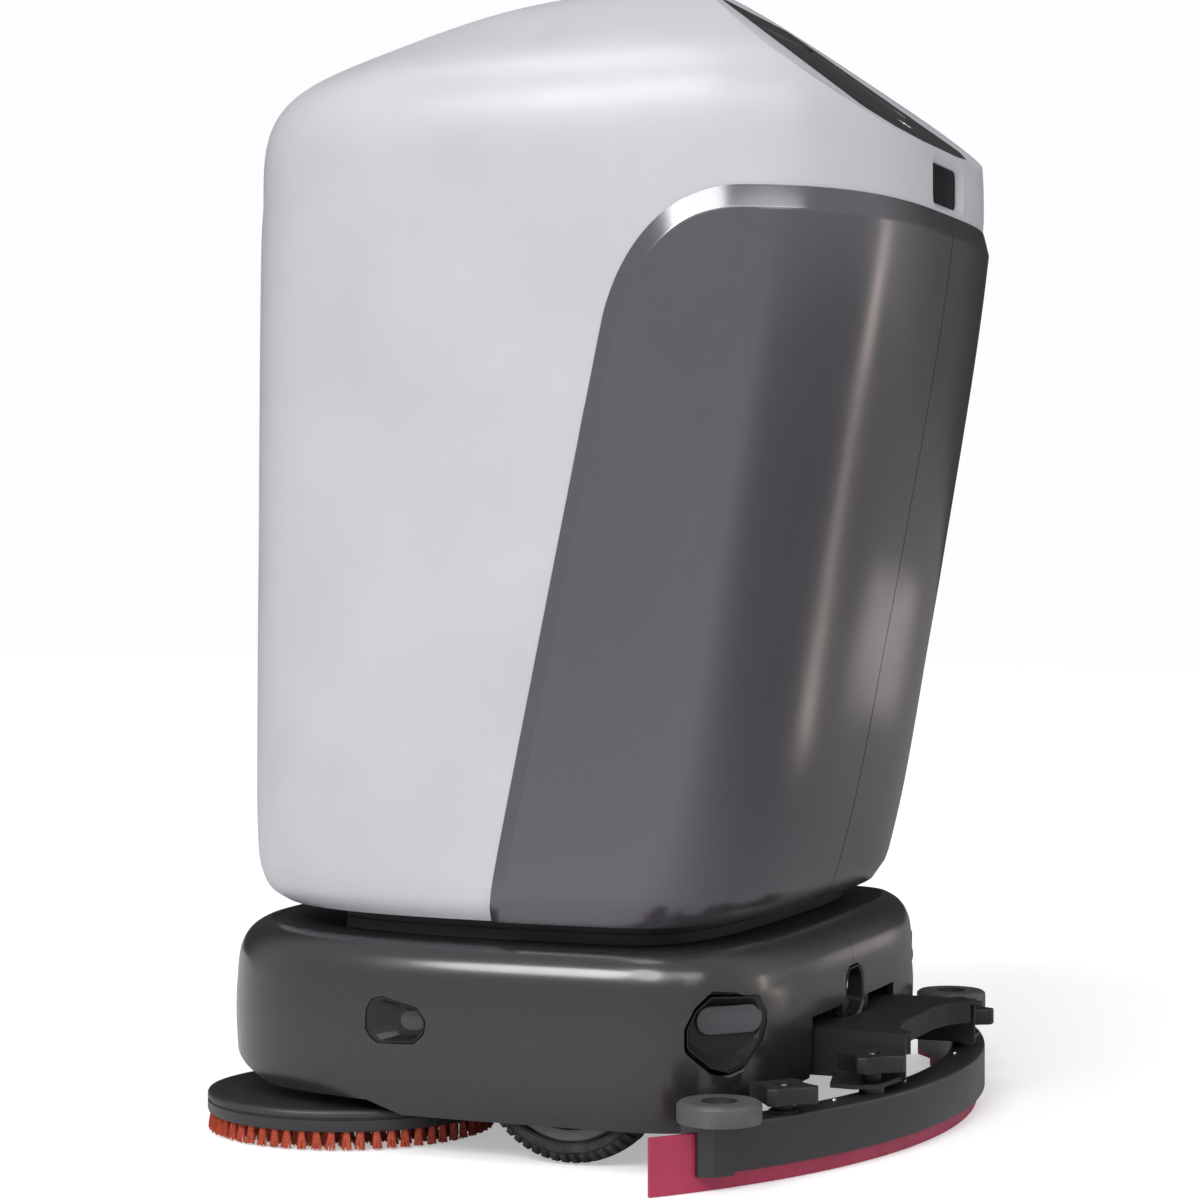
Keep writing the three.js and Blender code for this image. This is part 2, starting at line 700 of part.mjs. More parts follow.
// ---- Brush deck ----
const deckShape = new THREE.Shape();
const linkAngle = Math.atan2(BRUSHES.left[0], BRUSHES.centre[1] - BRUSHES.left[1]);
deckShape.absarc(...BRUSHES.left, DECK.radius, -Math.PI / 2, linkAngle, false);
deckShape.absarc(...BRUSHES.centre, DECK.radius, linkAngle, Math.PI - linkAngle, false);
deckShape.absarc(...BRUSHES.right, DECK.radius, Math.PI - linkAngle, 1.5 * Math.PI, false);
const deckHoles = Object.values(BRUSHES).map(([x, y]) => disc(16, 0, 100, 20).translate(x, y, 0));
addPart(
  brushDeck,
  "brush_deck",
  cut(
    raised(deckShape, DECK.bottom, DECK.top, 8),
    ...deckHoles,
    disc(74, 0, 100, 24).translate(0, CASTER.y, 0),
  ),
  zincGrey,
);
for (const [name, [x, y]] of Object.entries(BRUSHES)) {
  const motor = turned([
    [0, 44], [15, 44], [15, DECK.top + GAP], [48, DECK.top + GAP], [48, DECK.motorTop - 8],
    [40, DECK.motorTop], [0, DECK.motorTop],
  ], 16);
  addPart(brushDeck, name + "_brush_motor", motor, softBlack, x, y);
  const plate = turned([
    [0, BRISTLE_LENGTH], [BRUSH_RADIUS - 2, BRISTLE_LENGTH], [BRUSH_RADIUS, BRISTLE_LENGTH + 3],
    [BRUSH_RADIUS, BRUSH_TOP - 3], [BRUSH_RADIUS - 4, BRUSH_TOP], [36, BRUSH_TOP], [30, 43.7],
    [0, 43.7],
  ], 28);
  addPart(brushDeck, name + "_brush_disc", plate, softBlack, x, y);
  const bristles = turned([
    [72, BRISTLE_LENGTH - GAP], [70, 0], [BRUSH_RADIUS - 2, 0], [BRUSH_RADIUS - 8, BRISTLE_LENGTH - GAP],
    [72, BRISTLE_LENGTH - GAP],
  ], 28);
  addPart(brushDeck, name + "_brush_bristles", bristles, bristleOrange, x, y);
}

// ---- Squeegee ----
const channel = cut(
  arcBand(
    CHANNEL.inner,
    CHANNEL.outer,
    CHANNEL.bottom,
    CHANNEL.top,
    -CHANNEL_HALF_ANGLE,
    CHANNEL_HALF_ANGLE,
  ),
  arcBand(CHANNEL.inner + 6, CHANNEL.outer - CHANNEL.wall, 0, CHANNEL.top - 6, -50, 50, 24),
);
const bosses = [-1, 1].map((side) =>
  disc(12, CHANNEL.top - 1, 63.7, 16).translate(side * INNER_KNOB.x, INNER_KNOB.y, 0),
);
addPart(squeegee, "squeegee_body", join(channel, ...bosses), softBlack);
addPart(
  squeegee,
  "squeegee_blade",
  arcBand(
    BLADE_RADIUS - 3,
    BLADE_RADIUS + 0.7,
    0,
    CHANNEL.top - 6.3,
    -BLADE_HALF_ANGLE,
    BLADE_HALF_ANGLE,
    20,
  ),
  bladePink,
);
addPart(
  squeegee,
  "squeegee_front_blade",
  arcBand(CHANNEL.inner + 6.3, CHANNEL.inner + 9.3, 0.5, CHANNEL.top - 6.3, -33, 33, 16),
  bladePink,
);

function makeEndBlock() {
  const turn = THREE.MathUtils.degToRad(END_ANGLE);
  const profile = polygon([[-16, -22], [16, -22], [16, 4], [6, 14], [-16, 14]]);
  const block = raised(profile, 14, 60)
    .rotateZ(-turn)
    .translate(
      (BLADE_RADIUS + 1) * Math.sin(turn),
      ARC_CENTRE_Y + (BLADE_RADIUS + 1) * Math.cos(turn),
      0,
    );
  const bladeSlot = arcBand(BLADE_RADIUS - 3.3, BLADE_RADIUS + 1, -10, CHANNEL.top - 6, 30, 45, 20);
  return cut(block, bladeSlot, arcBand(600, 700, 0, 100, 0, CHANNEL_HALF_ANGLE + 0.05, 20));
}
const leftEndBlock = makeEndBlock();
addPart(squeegee, "left_end_block", leftEndBlock, softBlack);
addPart(squeegee, "right_end_block", mirrored(leftEndBlock), softBlack);

const rollerProfile = [
  [0, ROLLER.bottom], [ROLLER.radius - 2, ROLLER.bottom], [ROLLER.radius, ROLLER.bottom + 2],
  [ROLLER.radius, ROLLER.top - 3], [ROLLER.radius - 3, ROLLER.top], [15, ROLLER.top], [11, ROLLER.top - 4],
  [0, ROLLER.top - 4],
];
for (const [side, name] of [[1, "left"], [-1, "right"]]) {
  const roller = turned(rollerProfile, 24);
  addPart(squeegee, name + "_roller", roller, rollerGrey, side * ROLLER.x, ROLLER.y);
}

// A four-pointed star with hollow sides on a short stem.
function starKnob(stemLength) {
  const shape = new THREE.Shape();
  const tip = 31.5;
  const tipHalf = 5;
  const hollow = 13;
  for (let i = 0; i < 4; i++) {
    const turn = (i * Math.PI) / 2;
    const at = (along, across) => [
      along * Math.cos(turn) - across * Math.sin(turn),
      along * Math.sin(turn) + across * Math.cos(turn),
    ];
    if (i === 0) shape.moveTo(...at(tip, -tipHalf));
    else shape.lineTo(...at(tip, -tipHalf));
    shape.lineTo(...at(tip, tipHalf));
    shape.quadraticCurveTo(...at(hollow, hollow), ...at(tipHalf, tip));
  }
  return join(raised(shape, 0, KNOB_HEIGHT, 5), disc(9, -stemLength, 1, 16));
}
function addKnob(name, x, y, bottom, seat) {
  addPart(squeegee, name, starKnob(bottom - seat - GAP), matteBlack, x, y, bottom);
}
for (const [side, name] of [[1, "left"], [-1, "right"]]) {
  const outer = OUTER_KNOB;
  const inner = INNER_KNOB;
  addKnob(name + "_outer_star_knob", side * outer.x, outer.y, outer.bottom, CHANNEL.top);
  addKnob(name + "_inner_star_knob", side * inner.x, inner.y, inner.bottom, FLANGE_TOP);
}

// The carrier: a sheet from the pivot pin out over the channel, with its sides bent down and out,
// and a hollow rear edge with a wall under it. It passes round the middle of the skirt.
function makeCarrier() {
  const { top, thickness, halfWidth, rear } = CARRIER;
  const hollow = [[107, rear - 4], [100, 322], [84, 314], [50, 308]];
  const rearEdge = [...hollow, ...hollow.map(([x, y]) => [-x, y]).reverse()];
  const plate = raised(
    polygon([
      [-halfWidth, 170], [halfWidth, 170], [halfWidth, rear - 4], [halfWidth - 8, rear],
      ...rearEdge, [8 - halfWidth, rear], [-halfWidth, rear - 4],
    ]),
    top - thickness,
    top,
  );
  const ahead = ([x, y]) => [x + 3 * Math.sign(x), y - 4];
  const wall = raised(polygon([...rearEdge, ...[...rearEdge].reverse().map(ahead)]), 86, top);
  const sides = [-1, 1].map((side) => {
    const web = box(-2, 2, 212, rear - 4, FLANGE_TOP - thickness, top).translate(
      side * (halfWidth - 2),
      0,
      0,
    );
    const flange = raised(
      polygon([[halfWidth - 4, 260], [188, 277], [190, 300], [180, 321], [halfWidth - 4, rear - 6]]),
      FLANGE_TOP - thickness,
      FLANGE_TOP,
    );
    return join(web, side > 0 ? flange : mirrored(toGeometry(toSolid(flange))));
  });
  const knuckle = bar(11, -143, 143, PIVOT.y, PIVOT.z, 24);
  return cut(
    join(plate, wall, ...sides, knuckle),
    box(-47, 47, 190, 252, top - 10, top + 1),
    bar(PIVOT.pinRadius + GAP, -300, 300, PIVOT.y, PIVOT.z),
  );
}
addPart(squeegee, "squeegee_carrier", makeCarrier(), matteBlack);
const pinHalf = PIVOT.lugX + 10;
const pivotPin = bar(PIVOT.pinRadius, -pinHalf, pinHalf, PIVOT.y, PIVOT.z);
addPart(base, "squeegee_pivot_pin", pivotPin, steel);

export default robot;
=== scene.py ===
import math
import random

import bmesh
import bpy
import numpy as np
from mathutils import Matrix, Vector


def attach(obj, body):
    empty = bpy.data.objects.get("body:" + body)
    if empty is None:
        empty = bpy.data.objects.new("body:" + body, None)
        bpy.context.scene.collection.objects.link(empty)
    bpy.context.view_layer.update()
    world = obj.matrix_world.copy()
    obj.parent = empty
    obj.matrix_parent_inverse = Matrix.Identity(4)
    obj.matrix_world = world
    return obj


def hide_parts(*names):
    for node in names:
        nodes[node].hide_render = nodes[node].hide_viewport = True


# Looks for the robotic floor cleaner: fine shells, wheels, brushes and squeegee around the CAD frame.
# Everything is in metres, +Z up, with the front facing -Y and the robot's left side on +X.
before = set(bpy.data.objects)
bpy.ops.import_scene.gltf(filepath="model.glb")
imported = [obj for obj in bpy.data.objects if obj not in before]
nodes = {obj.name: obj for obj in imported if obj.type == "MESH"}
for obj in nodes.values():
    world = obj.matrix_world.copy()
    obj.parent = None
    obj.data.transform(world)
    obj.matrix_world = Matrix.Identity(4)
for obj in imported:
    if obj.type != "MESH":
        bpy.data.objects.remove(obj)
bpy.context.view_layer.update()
scene = bpy.context.scene
random.seed(7)

MM = 0.001

# ---------------------------------------------------------------- camera, light and floor
CAMERA_PLACE = Vector((2.872, 1.1325, 0.543))
CAMERA_AZIMUTH = math.radians(112.0)  # 0 looks along +Y
CAMERA_PITCH = math.radians(-0.583)
CAMERA_LENS = 91.4
AMBIENT = 0.66
DARK_AMBIENT = 0.05
DARK_SIDE = Vector((-0.9, -0.42, 0.26))  # where the surroundings are darkest
WARM = (1.0, 0.86, 0.73)
ROSY = (1.0, 0.88, 0.86)
FLOOR_SIZE = 14.0
FLOOR_GLOW = 0.4


def make_camera():
    data = bpy.data.cameras.new("camera")
    data.lens = CAMERA_LENS
    data.sensor_width = 36.0
    data.clip_start = 0.05
    camera = bpy.data.objects.new("camera", data)
    camera.location = CAMERA_PLACE
    camera.rotation_euler = (math.pi / 2 + CAMERA_PITCH, 0.0, CAMERA_AZIMUTH)
    scene.collection.objects.link(camera)
    scene.camera = camera


def new_light(name, kind, place, rotation, **values):
    data = bpy.data.lights.new(name, kind)
    for key, value in values.items():
        setattr(data, key, value)
    light = bpy.data.objects.new(name, data)
    light.location = place
    light.rotation_euler = rotation
    scene.collection.objects.link(light)
    return light


def aimed(direction):
    """The rotation that points a light along a direction."""
    return Vector(direction).to_track_quat("-Z", "Y").to_euler()


def area_light(name, place, target, width, height, power, colour=(1.0, 1.0, 1.0)):
    return new_light(name, "AREA", place, aimed(Vector(target) - Vector(place)),
                     shape="RECTANGLE", size=width, size_y=height, energy=power, color=colour)


def sun_light(name, direction, angle, strength):
    return new_light(name, "SUN", (0, 0, 0), aimed(-Vector(direction)),
                     angle=math.radians(angle), energy=strength)


def floor_strip(start, end, width, power):
    """A lamp lying on the floor and facing up, from start to end."""
    run = Vector(end) - Vector(start)
    middle = (Vector(start) + Vector(end)) / 2
    return new_light("floor_strip", "AREA", (middle.x, middle.y, 0.01),
                     (math.pi, 0.0, math.atan2(run.y, run.x)),
                     shape="RECTANGLE", size=run.length, size_y=width, energy=power, color=WARM)


def add_node(tree, kind, inputs=None, **settings):
    """A new shader node with its settings and the values of its inputs."""
    made = tree.nodes.new(kind)
    for name, value in settings.items():
        setattr(made, name, value)
    for name, value in (inputs or {}).items():
        made.inputs[name].default_value = value
    return made


def make_studio():
    world = bpy.data.worlds.new("studio")
    world.use_nodes = True
    tree = world.node_tree
    background = tree.nodes["Background"]
    background.inputs["Color"].default_value = (0.985, 0.985, 1.0, 1.0)
    # The backdrop that is seen is white; the light that it gives is softer, and darker ahead.
    path = add_node(tree, "ShaderNodeLightPath")
    place = add_node(tree, "ShaderNodeTexCoord")
    facing = add_node(tree, "ShaderNodeVectorMath", {1: DARK_SIDE.normalized()}, operation="DOT_PRODUCT")
    shade = add_node(tree, "ShaderNodeMapRange", {
        "From Min": 0.35, "From Max": 0.86, "To Min": AMBIENT, "To Max": DARK_AMBIENT,
    }, interpolation_type="SMOOTHSTEP")
    strength = add_node(tree, "ShaderNodeMix", {"B": 1.0})
    tree.links.new(place.outputs["Generated"], facing.inputs[0])
    tree.links.new(facing.outputs["Value"], shade.inputs["Value"])
    tree.links.new(shade.outputs["Result"], strength.inputs["A"])
    tree.links.new(path.outputs["Is Camera Ray"], strength.inputs["Factor"])
    tree.links.new(strength.outputs["Result"], background.inputs["Strength"])
    scene.world = world
    scene.view_settings.view_transform = "Standard"
    area_light("overhead", (0.42, -0.4, 2.7), (0.2, 0.0, 0.8), 1.3, 0.8, 9.0)
    area_light("side_key", (2.2, 2.9, 2.2), (0.0, 0.0, 0.6), 1.4, 1.4, 8.0)
    sun_light("key", (0.75, -0.06, 0.64), 26.0, 1.2)
    # A long box beside the camera that only shiny surfaces show: it whitens the doors' top chamfers.
    box = area_light("chamfer_box", (2.84, 2.25, 3.15), (0.3, 0.2, 0.88), 5.2, 1.2, 60.0)
    glint = sun_light("glint", (0.75, -0.375, 0.545), 16.0, 0.9)
    # A strip of light along the floor, and one beyond it, give the doors their long streak.
    strip = floor_strip((-1.25, 1.14), (-4.35, 4.6), 0.15, 7.0)
    far = area_light("far_strip", (-4.75, 4.95, 0.55), (0.3, 0.2, 0.9), 0.4, 1.1, 5.2, WARM)
    patch = area_light("soft_patch", (-2.6, 1.0, 0.12), (0.1, 0.3, 0.5), 0.35, 0.25, 0.22, ROSY)
    for light in (box, glint, patch):
        light.visible_diffuse = False
    for light in (box, strip, far, patch):
        light.visible_camera = False


def make_floor():
    mesh = bpy.data.meshes.new("studio_floor")
    corners = [(x * FLOOR_SIZE, y * FLOOR_SIZE, 0) for x, y in ((-1, -1), (1, -1), (1, 1), (-1, 1))]
    mesh.from_pydata(corners, [], [(0, 1, 2, 3)])
    floor = bpy.data.objects.new("studio_floor", mesh)
    floor.location.z = -0.0005
    scene.collection.objects.link(floor)
    material = bpy.data.materials.new("floor_paper")
    material.use_nodes = True
    shader = material.node_tree.nodes["Principled BSDF"]
    shader.inputs["Roughness"].default_value = 0.9
    shader.inputs["Emission Color"].default_value = (1.0, 1.0, 1.0, 1.0)
    # Its glow is for the camera alone: it hides the horizon and lights nothing.
    tree = material.node_tree
    path = add_node(tree, "ShaderNodeLightPath")
    glow = add_node(tree, "ShaderNodeMath", {1: FLOOR_GLOW}, operation="MULTIPLY")
    tree.links.new(path.outputs["Is Camera Ray"], glow.inputs[0])
    tree.links.new(glow.outputs["Value"], shader.inputs["Emission Strength"])
    # Painted shade in reflections: for glossy rays the floor beyond the robot takes a darker colour.
    place = add_node(tree, "ShaderNodeTexCoord")
    beyond = add_node(tree, "ShaderNodeVectorMath", {1: (-0.8, 0.6, 0.0)}, operation="DOT_PRODUCT")
    reflected_shade = add_node(tree, "ShaderNodeMapRange", {"From Min": -0.9, "From Max": 1.3},
                    interpolation_type="SMOOTHSTEP")
    reflected = add_node(tree, "ShaderNodeMath", operation="MULTIPLY")
    paper = add_node(tree, "ShaderNodeMix", data_type="RGBA")
    # The colour sockets of a mix node share their names with others, so they go by number.
    paper.inputs[6].default_value = (0.93, 0.93, 0.94, 1.0)
    # This darker colour is painted shade, seen only in reflections.
    paper.inputs[7].default_value = (0.3, 0.29, 0.3, 1.0)
    tree.links.new(place.outputs["Object"], beyond.inputs[0])
    tree.links.new(beyond.outputs["Value"], reflected_shade.inputs["Value"])
    tree.links.new(reflected_shade.outputs["Result"], reflected.inputs[0])
    tree.links.new(path.outputs["Is Glossy Ray"], reflected.inputs[1])
    tree.links.new(reflected.outputs["Value"], paper.inputs["Factor"])
    tree.links.new(paper.outputs[2], shader.inputs["Base Color"])
    mesh.materials.append(material)


make_camera()
make_studio()
make_floor()


# ---------------------------------------------------------------- materials
def socket_set(shader, **values):
    for name, value in values.items():
        shader.inputs[name.replace("_", " ").title().replace("Ior", "IOR")].default_value = value


class Finish:
    """A node material whose colour, roughness and bump come from object-space noise."""

    def __init__(self, name, colour, **values):
        self.name = name
        self.material = bpy.data.materials.new(name)
        self.material.use_nodes = True
        self.tree = self.material.node_tree
        self.shader = self.tree.nodes["Principled BSDF"]
        self.colour = colour
        self.shader.inputs["Base Color"].default_value = (*colour, 1.0)
        socket_set(self.shader, **values)
        self.place = self.node("ShaderNodeTexCoord").outputs["Object"]
        self.normal = None

    def node(self, kind, inputs=None, **settings):
        return add_node(self.tree, kind, inputs, **settings)

    def link(self, a, b):
        self.tree.links.new(a, b)

    def noise(self, scale, detail=3.0, roughness=0.5, stretch=(1.0, 1.0, 1.0)):
        mapping = self.node("ShaderNodeMapping", {"Scale": stretch})
        self.link(self.place, mapping.inputs["Vector"])
        noise = self.node("ShaderNodeTexNoise", {"Scale": scale, "Detail": detail, "Roughness": roughness})
        self.link(mapping.outputs["Vector"], noise.inputs["Vector"])
        return noise.outputs["Fac"]

    def spread(self, value, low, high, start=0.3, end=0.7):
        ramp = self.node("ShaderNodeMapRange", {
            "From Min": start, "From Max": end, "To Min": low, "To Max": high,
        })
        self.link(value, ramp.inputs["Value"])
        return ramp.outputs["Result"]

    def vary_colour(self, value, other, start=0.35, end=0.65, amount=1.0):
        mix = self.node("ShaderNodeMix", data_type="RGBA")
        fac = self.spread(value, 0.0, amount, start, end)
        self.link(fac, mix.inputs["Factor"])
        previous = self.shader.inputs["Base Color"]
        if previous.is_linked:
            self.link(previous.links[0].from_socket, mix.inputs["A"])
        else:
            mix.inputs["A"].default_value = (*self.colour, 1.0)
        mix.inputs["B"].default_value = (*other, 1.0)
        self.link(mix.outputs["Result"], self.shader.inputs["Base Color"])
        return self

    def vary_roughness(self, value, low, high):
        self.link(self.spread(value, low, high), self.shader.inputs["Roughness"])
        return self

    def bump(self, value, distance, strength=1.0):
        bump = self.node("ShaderNodeBump", {"Distance": distance, "Strength": strength})
        self.link(value, bump.inputs["Height"])
        if self.normal is not None:
            self.link(self.normal, bump.inputs["Normal"])
        self.normal = bump.outputs["Normal"]
        self.link(self.normal, self.shader.inputs["Normal"])
        return self


def moulded(name, colour, roughness, grain=0.00006, scale=900.0, **values):
    """Moulded plastic: a fine texture in the surface and a slow variation in colour and gloss."""
    finish = Finish(name, colour, roughness=roughness, **values)
    darker = tuple(c * 0.93 for c in colour)
    finish.vary_colour(finish.noise(6.0), darker)
    finish.vary_roughness(finish.noise(14.0, detail=5.0), roughness * 0.92, roughness * 1.1)
    finish.bump(finish.noise(scale, detail=2.0), grain, 0.5)
    return finish


def brushed_metal(name, colour, roughness):
    finish = Finish(name, colour, metallic=1.0, roughness=roughness)
    streaks = finish.noise(260.0, detail=4.0, stretch=(1.0, 1.0, 0.06))
    finish.vary_roughness(streaks, roughness * 0.8, roughness * 1.25)
    finish.vary_colour(finish.noise(30.0), tuple(c * 0.85 for c in colour))
    finish.bump(streaks, 0.00003, 0.5)
    return finish


def zinc_plated(name, colour=(0.42, 0.43, 0.45)):
    finish = Finish(name, colour, metallic=0.85, roughness=0.42)
    finish.vary_colour(finish.noise(70.0, detail=6.0), (0.34, 0.35, 0.36), 0.4, 0.6)
    finish.vary_roughness(finish.noise(40.0), 0.34, 0.52)
    finish.bump(finish.noise(500.0), 0.00004, 0.5)
    return finish


def rubber(name, colour, roughness=0.8):
    finish = Finish(name, colour, roughness=roughness, specular_ior_level=0.35)
    dusty = tuple(min(1.0, c + 0.035) for c in colour)
    finish.vary_colour(finish.noise(45.0, detail=6.0), dusty, 0.45, 0.75)
    finish.vary_roughness(finish.noise(30.0), roughness * 0.85, min(1.0, roughness * 1.1))
    finish.bump(finish.noise(700.0, detail=3.0), 0.00008, 0.6)
    return finish


def make_doors_finish():
    doors = Finish("door_anthracite", (0.15, 0.145, 0.158), metallic=0.8, roughness=0.2)
    flakes = doors.noise(1800.0, detail=1.0)
    doors.vary_colour(flakes, (0.21, 0.205, 0.222), 0.5, 0.8)
    doors.vary_roughness(doors.noise(9.0, detail=4.0), 0.17, 0.23)
    return doors.bump(flakes, 0.00003, 0.4)


def make_skirt_finish():
    skirt = Finish("skirt_anthracite", (0.032, 0.0305, 0.034), metallic=0.35, roughness=0.26)
    socket_set(skirt.shader, coat_weight=0.5, coat_roughness=0.14)
    skirt.vary_colour(skirt.noise(1500.0, detail=1.0), (0.05, 0.0475, 0.053), 0.5, 0.8)
    skirt.vary_roughness(skirt.noise(11.0, detail=4.0), 0.22, 0.3)
    return skirt.bump(skirt.noise(700.0, detail=2.0), 0.00002, 0.3)


def make_bristle_finish():
    bristles = Finish("bristle_orange", (0.56, 0.07, 0.018), roughness=0.55, sheen_weight=0.15)
    bristles.vary_colour(bristles.noise(380.0, detail=3.0), (0.36, 0.035, 0.012), 0.4, 0.62)
    return bristles.vary_colour(bristles.noise(90.0), (0.68, 0.13, 0.04), 0.5, 0.8, 0.6)


def make_blade_finish():
    blade = Finish("blade_pink", (0.47, 0.035, 0.1), roughness=0.36, subsurface_weight=0.08)
    socket_set(blade.shader, subsurface_scale=0.004)
    blade.vary_colour(blade.noise(22.0, detail=4.0), (0.4, 0.028, 0.08))
    blade.vary_roughness(blade.noise(60.0), 0.32, 0.44)
    return blade.bump(blade.noise(240.0, stretch=(1.0, 1.0, 0.1)), 0.00005, 0.4)


def make_finishes():
    glass = Finish("display_glass", (0.012, 0.012, 0.015), roughness=0.06, coat_weight=1.0,
                   coat_roughness=0.02)
    glass.vary_roughness(glass.noise(25.0, detail=5.0), 0.05, 0.11)
    made = [
        glass,
        make_doors_finish(),
        make_skirt_finish(),
        make_bristle_finish(),
        make_blade_finish(),
        moulded("shell_white", (0.61, 0.6, 0.645), 0.38, coat_weight=0.12, coat_roughness=0.3),
        moulded("sensor_black", (0.085, 0.081, 0.09), 0.5),
        moulded("stop_red", (0.5, 0.012, 0.012), 0.3, coat_weight=0.3),
        moulded("cover_black", (0.012, 0.012, 0.013), 0.55, 0.00012, 600.0, specular_ior_level=0.35),
        moulded("rim_grey", (0.115, 0.112, 0.12), 0.45),
        moulded("battery_case", (0.05, 0.14, 0.075), 0.5),
        moulded("tank_clean", (0.36, 0.5, 0.64), 0.35),
        moulded("tank_recovery", (0.4, 0.4, 0.41), 0.45),
        moulded("fitting_black", (0.022, 0.022, 0.024), 0.5),
        moulded("brush_plate", (0.028, 0.028, 0.031), 0.42),
        moulded("channel_black", (0.024, 0.0232, 0.0255), 0.34, coat_weight=0.15),
        moulded("knob_black", (0.016, 0.0155, 0.017), 0.46, 0.0001, 700.0, specular_ior_level=0.4),
        brushed_metal("button_steel", (0.62, 0.62, 0.64), 0.28),
        brushed_metal("axle_steel", (0.6, 0.6, 0.6), 0.25),
        zinc_plated("chassis_steel"),
        zinc_plated("motor_grey", (0.3, 0.3, 0.31)),
        zinc_plated("control_case", (0.36, 0.37, 0.38)),
        rubber("tyre_rubber", (0.014, 0.014, 0.015), 0.72),
        rubber("roller_grey", (0.088, 0.086, 0.091), 0.46),
    ]
    return {finish.name: finish.material for finish in made}


finishes = make_finishes()
screw_steel = brushed_metal("screw_steel", (0.72, 0.72, 0.73), 0.22).material
# Near-black painted shade for holes: screw recesses, the rear sensor's hole and the side sensor's dark
# window.
hole_shade_black = moulded("hole_shade_black", (0.008, 0.008, 0.009), 0.6).material
# Near-black for the inside of the sensor pockets: dark plastic with the recess's shade painted in.
pocket_shade_black = moulded("pocket_shade_black", (0.013, 0.013, 0.014), 0.42, specular_ior_level=0.35).material
window_black = moulded("window_black", (0.006, 0.006, 0.007), 0.5, specular_ior_level=0.08).material


# ---------------------------------------------------------------- mesh helpers
def new_object(name, points, faces, material=None, smooth_angle=35.0):
    mesh = bpy.data.meshes.new(name)
    mesh.from_pydata([tuple(p) for p in points], [], [tuple(f) for f in faces])
    mesh.validate()
    made = bpy.data.objects.new(name, mesh)
    scene.collection.objects.link(made)
    if material is not None:
        mesh.materials.append(material)
    finish_normals(made, smooth_angle)
    return made


def finish_normals(piece, smooth_angle=35.0):
    mesh = piece.data
    work = bmesh.new()
    work.from_mesh(mesh)
    bmesh.ops.recalc_face_normals(work, faces=work.faces)
    work.to_mesh(mesh)
    work.free()
    mesh.shade_smooth()
    mesh.set_sharp_from_angle(angle=math.radians(smooth_angle))


def applied(piece, smooth_angle=35.0):
    """Replaces the piece's mesh by what its modifiers make of it."""
    bpy.context.view_layer.update()
    evaluated = piece.evaluated_get(bpy.context.evaluated_depsgraph_get())
    mesh = bpy.data.meshes.new_from_object(evaluated)
    mesh.name = piece.name
    piece.modifiers.clear()
    piece.data = mesh
    mesh.shade_smooth()
    mesh.set_sharp_from_angle(angle=math.radians(smooth_angle))
    return piece


def joined(name, parts):
    """One object from several, each keeping its material."""
    materials = []
    points = []
    faces = []
    slots = []
    smooth = []
    for part in parts:
        base = len(points)
        matrix = part.matrix_world
        points += [tuple(matrix @ v.co) for v in part.data.vertices]
        for polygon in part.data.polygons:
            faces.append([base + i for i in polygon.vertices])
            material = part.data.materials[polygon.material_index] if part.data.materials else None
            if material not in materials:
                materials.append(material)
            slots.append(materials.index(material))
            smooth.append(polygon.use_smooth)
    mesh = bpy.data.meshes.new(name)
    mesh.from_pydata(points, [], faces)
    for material in materials:
        mesh.materials.append(material)
    mesh.polygons.foreach_set("material_index", slots)
    mesh.polygons.foreach_set("use_smooth", smooth)
    mesh.set_sharp_from_angle(angle=math.radians(35.0))
    made = bpy.data.objects.new(name, mesh)
    scene.collection.objects.link(made)
    for part in parts:
        bpy.data.objects.remove(part)
    return made


def grid_faces(rows, columns, closed=False, start=0):
    faces = []
    last = columns if closed else columns - 1
    for r in range(rows - 1):
        for c in range(last):
            a = start + r * columns + c
            b = start + r * columns + (c + 1) % columns
            faces.append((a, b, b + columns, a + columns))
    return faces


def lathe(name, profile, material, segments=64, smooth_angle=35.0):
    """A body turned about Z from (radius, z) pairs in metres; the profile closes on itself."""
    points = []
    for radius, z in profile:
        for i in range(segments):
            angle = 2 * math.pi * i / segments
            points.append((radius * math.cos(angle), radius * math.sin(angle), z))
    faces = []
    count = len(profile)
    for r in range(count):
        for i in range(segments):
            j = (i + 1) % segments
            s = (r + 1) % count
            faces.append((r * segments + i, r * segments + j, s * segments + j, s * segments + i))
    made = new_object(name, points, faces, material, smooth_angle)
    work = bmesh.new()
    work.from_mesh(made.data)
    bmesh.ops.remove_doubles(work, verts=work.verts, dist=1e-6)
    bmesh.ops.dissolve_degenerate(work, edges=work.edges, dist=1e-7)
    work.to_mesh(made.data)
    work.free()
    finish_normals(made, smooth_angle)
    return made


def prism(name, outline, low, high, material, bevel=0.0, smooth_angle=35.0, segments=3):
    """A flat outline in X and Y raised from low to high, with its edges rounded by bevel."""
    count = len(outline)
    points = [(x, y, z) for z in (low, high) for x, y in outline]
    faces = [tuple(range(count))[::-1], tuple(range(count, 2 * count))]
    faces += [(i, (i + 1) % count, count + (i + 1) % count, count + i) for i in range(count)]
    made = new_object(name, points, faces, material, smooth_angle)
    if bevel > 0:
        modifier = made.modifiers.new("round", "BEVEL")
        modifier.width = bevel
        modifier.segments = segments
        modifier.limit_method = "ANGLE"
        modifier.angle_limit = math.radians(40)
        applied(made, 50.0)
    return made


def block(name, low, high, material, bevel=0.0):
    outline = [(low[0], low[1]), (high[0], low[1]), (high[0], high[1]), (low[0], high[1])]
    return prism(name, outline, low[2], high[2], material, bevel)


def transformed(piece, matrix):
    piece.data.transform(matrix)
    if matrix.determinant() < 0:
        piece.data.flip_normals()
    return piece


def moved(piece, x, y, z=0.0):
    return transformed(piece, Matrix.Translation((x, y, z)))


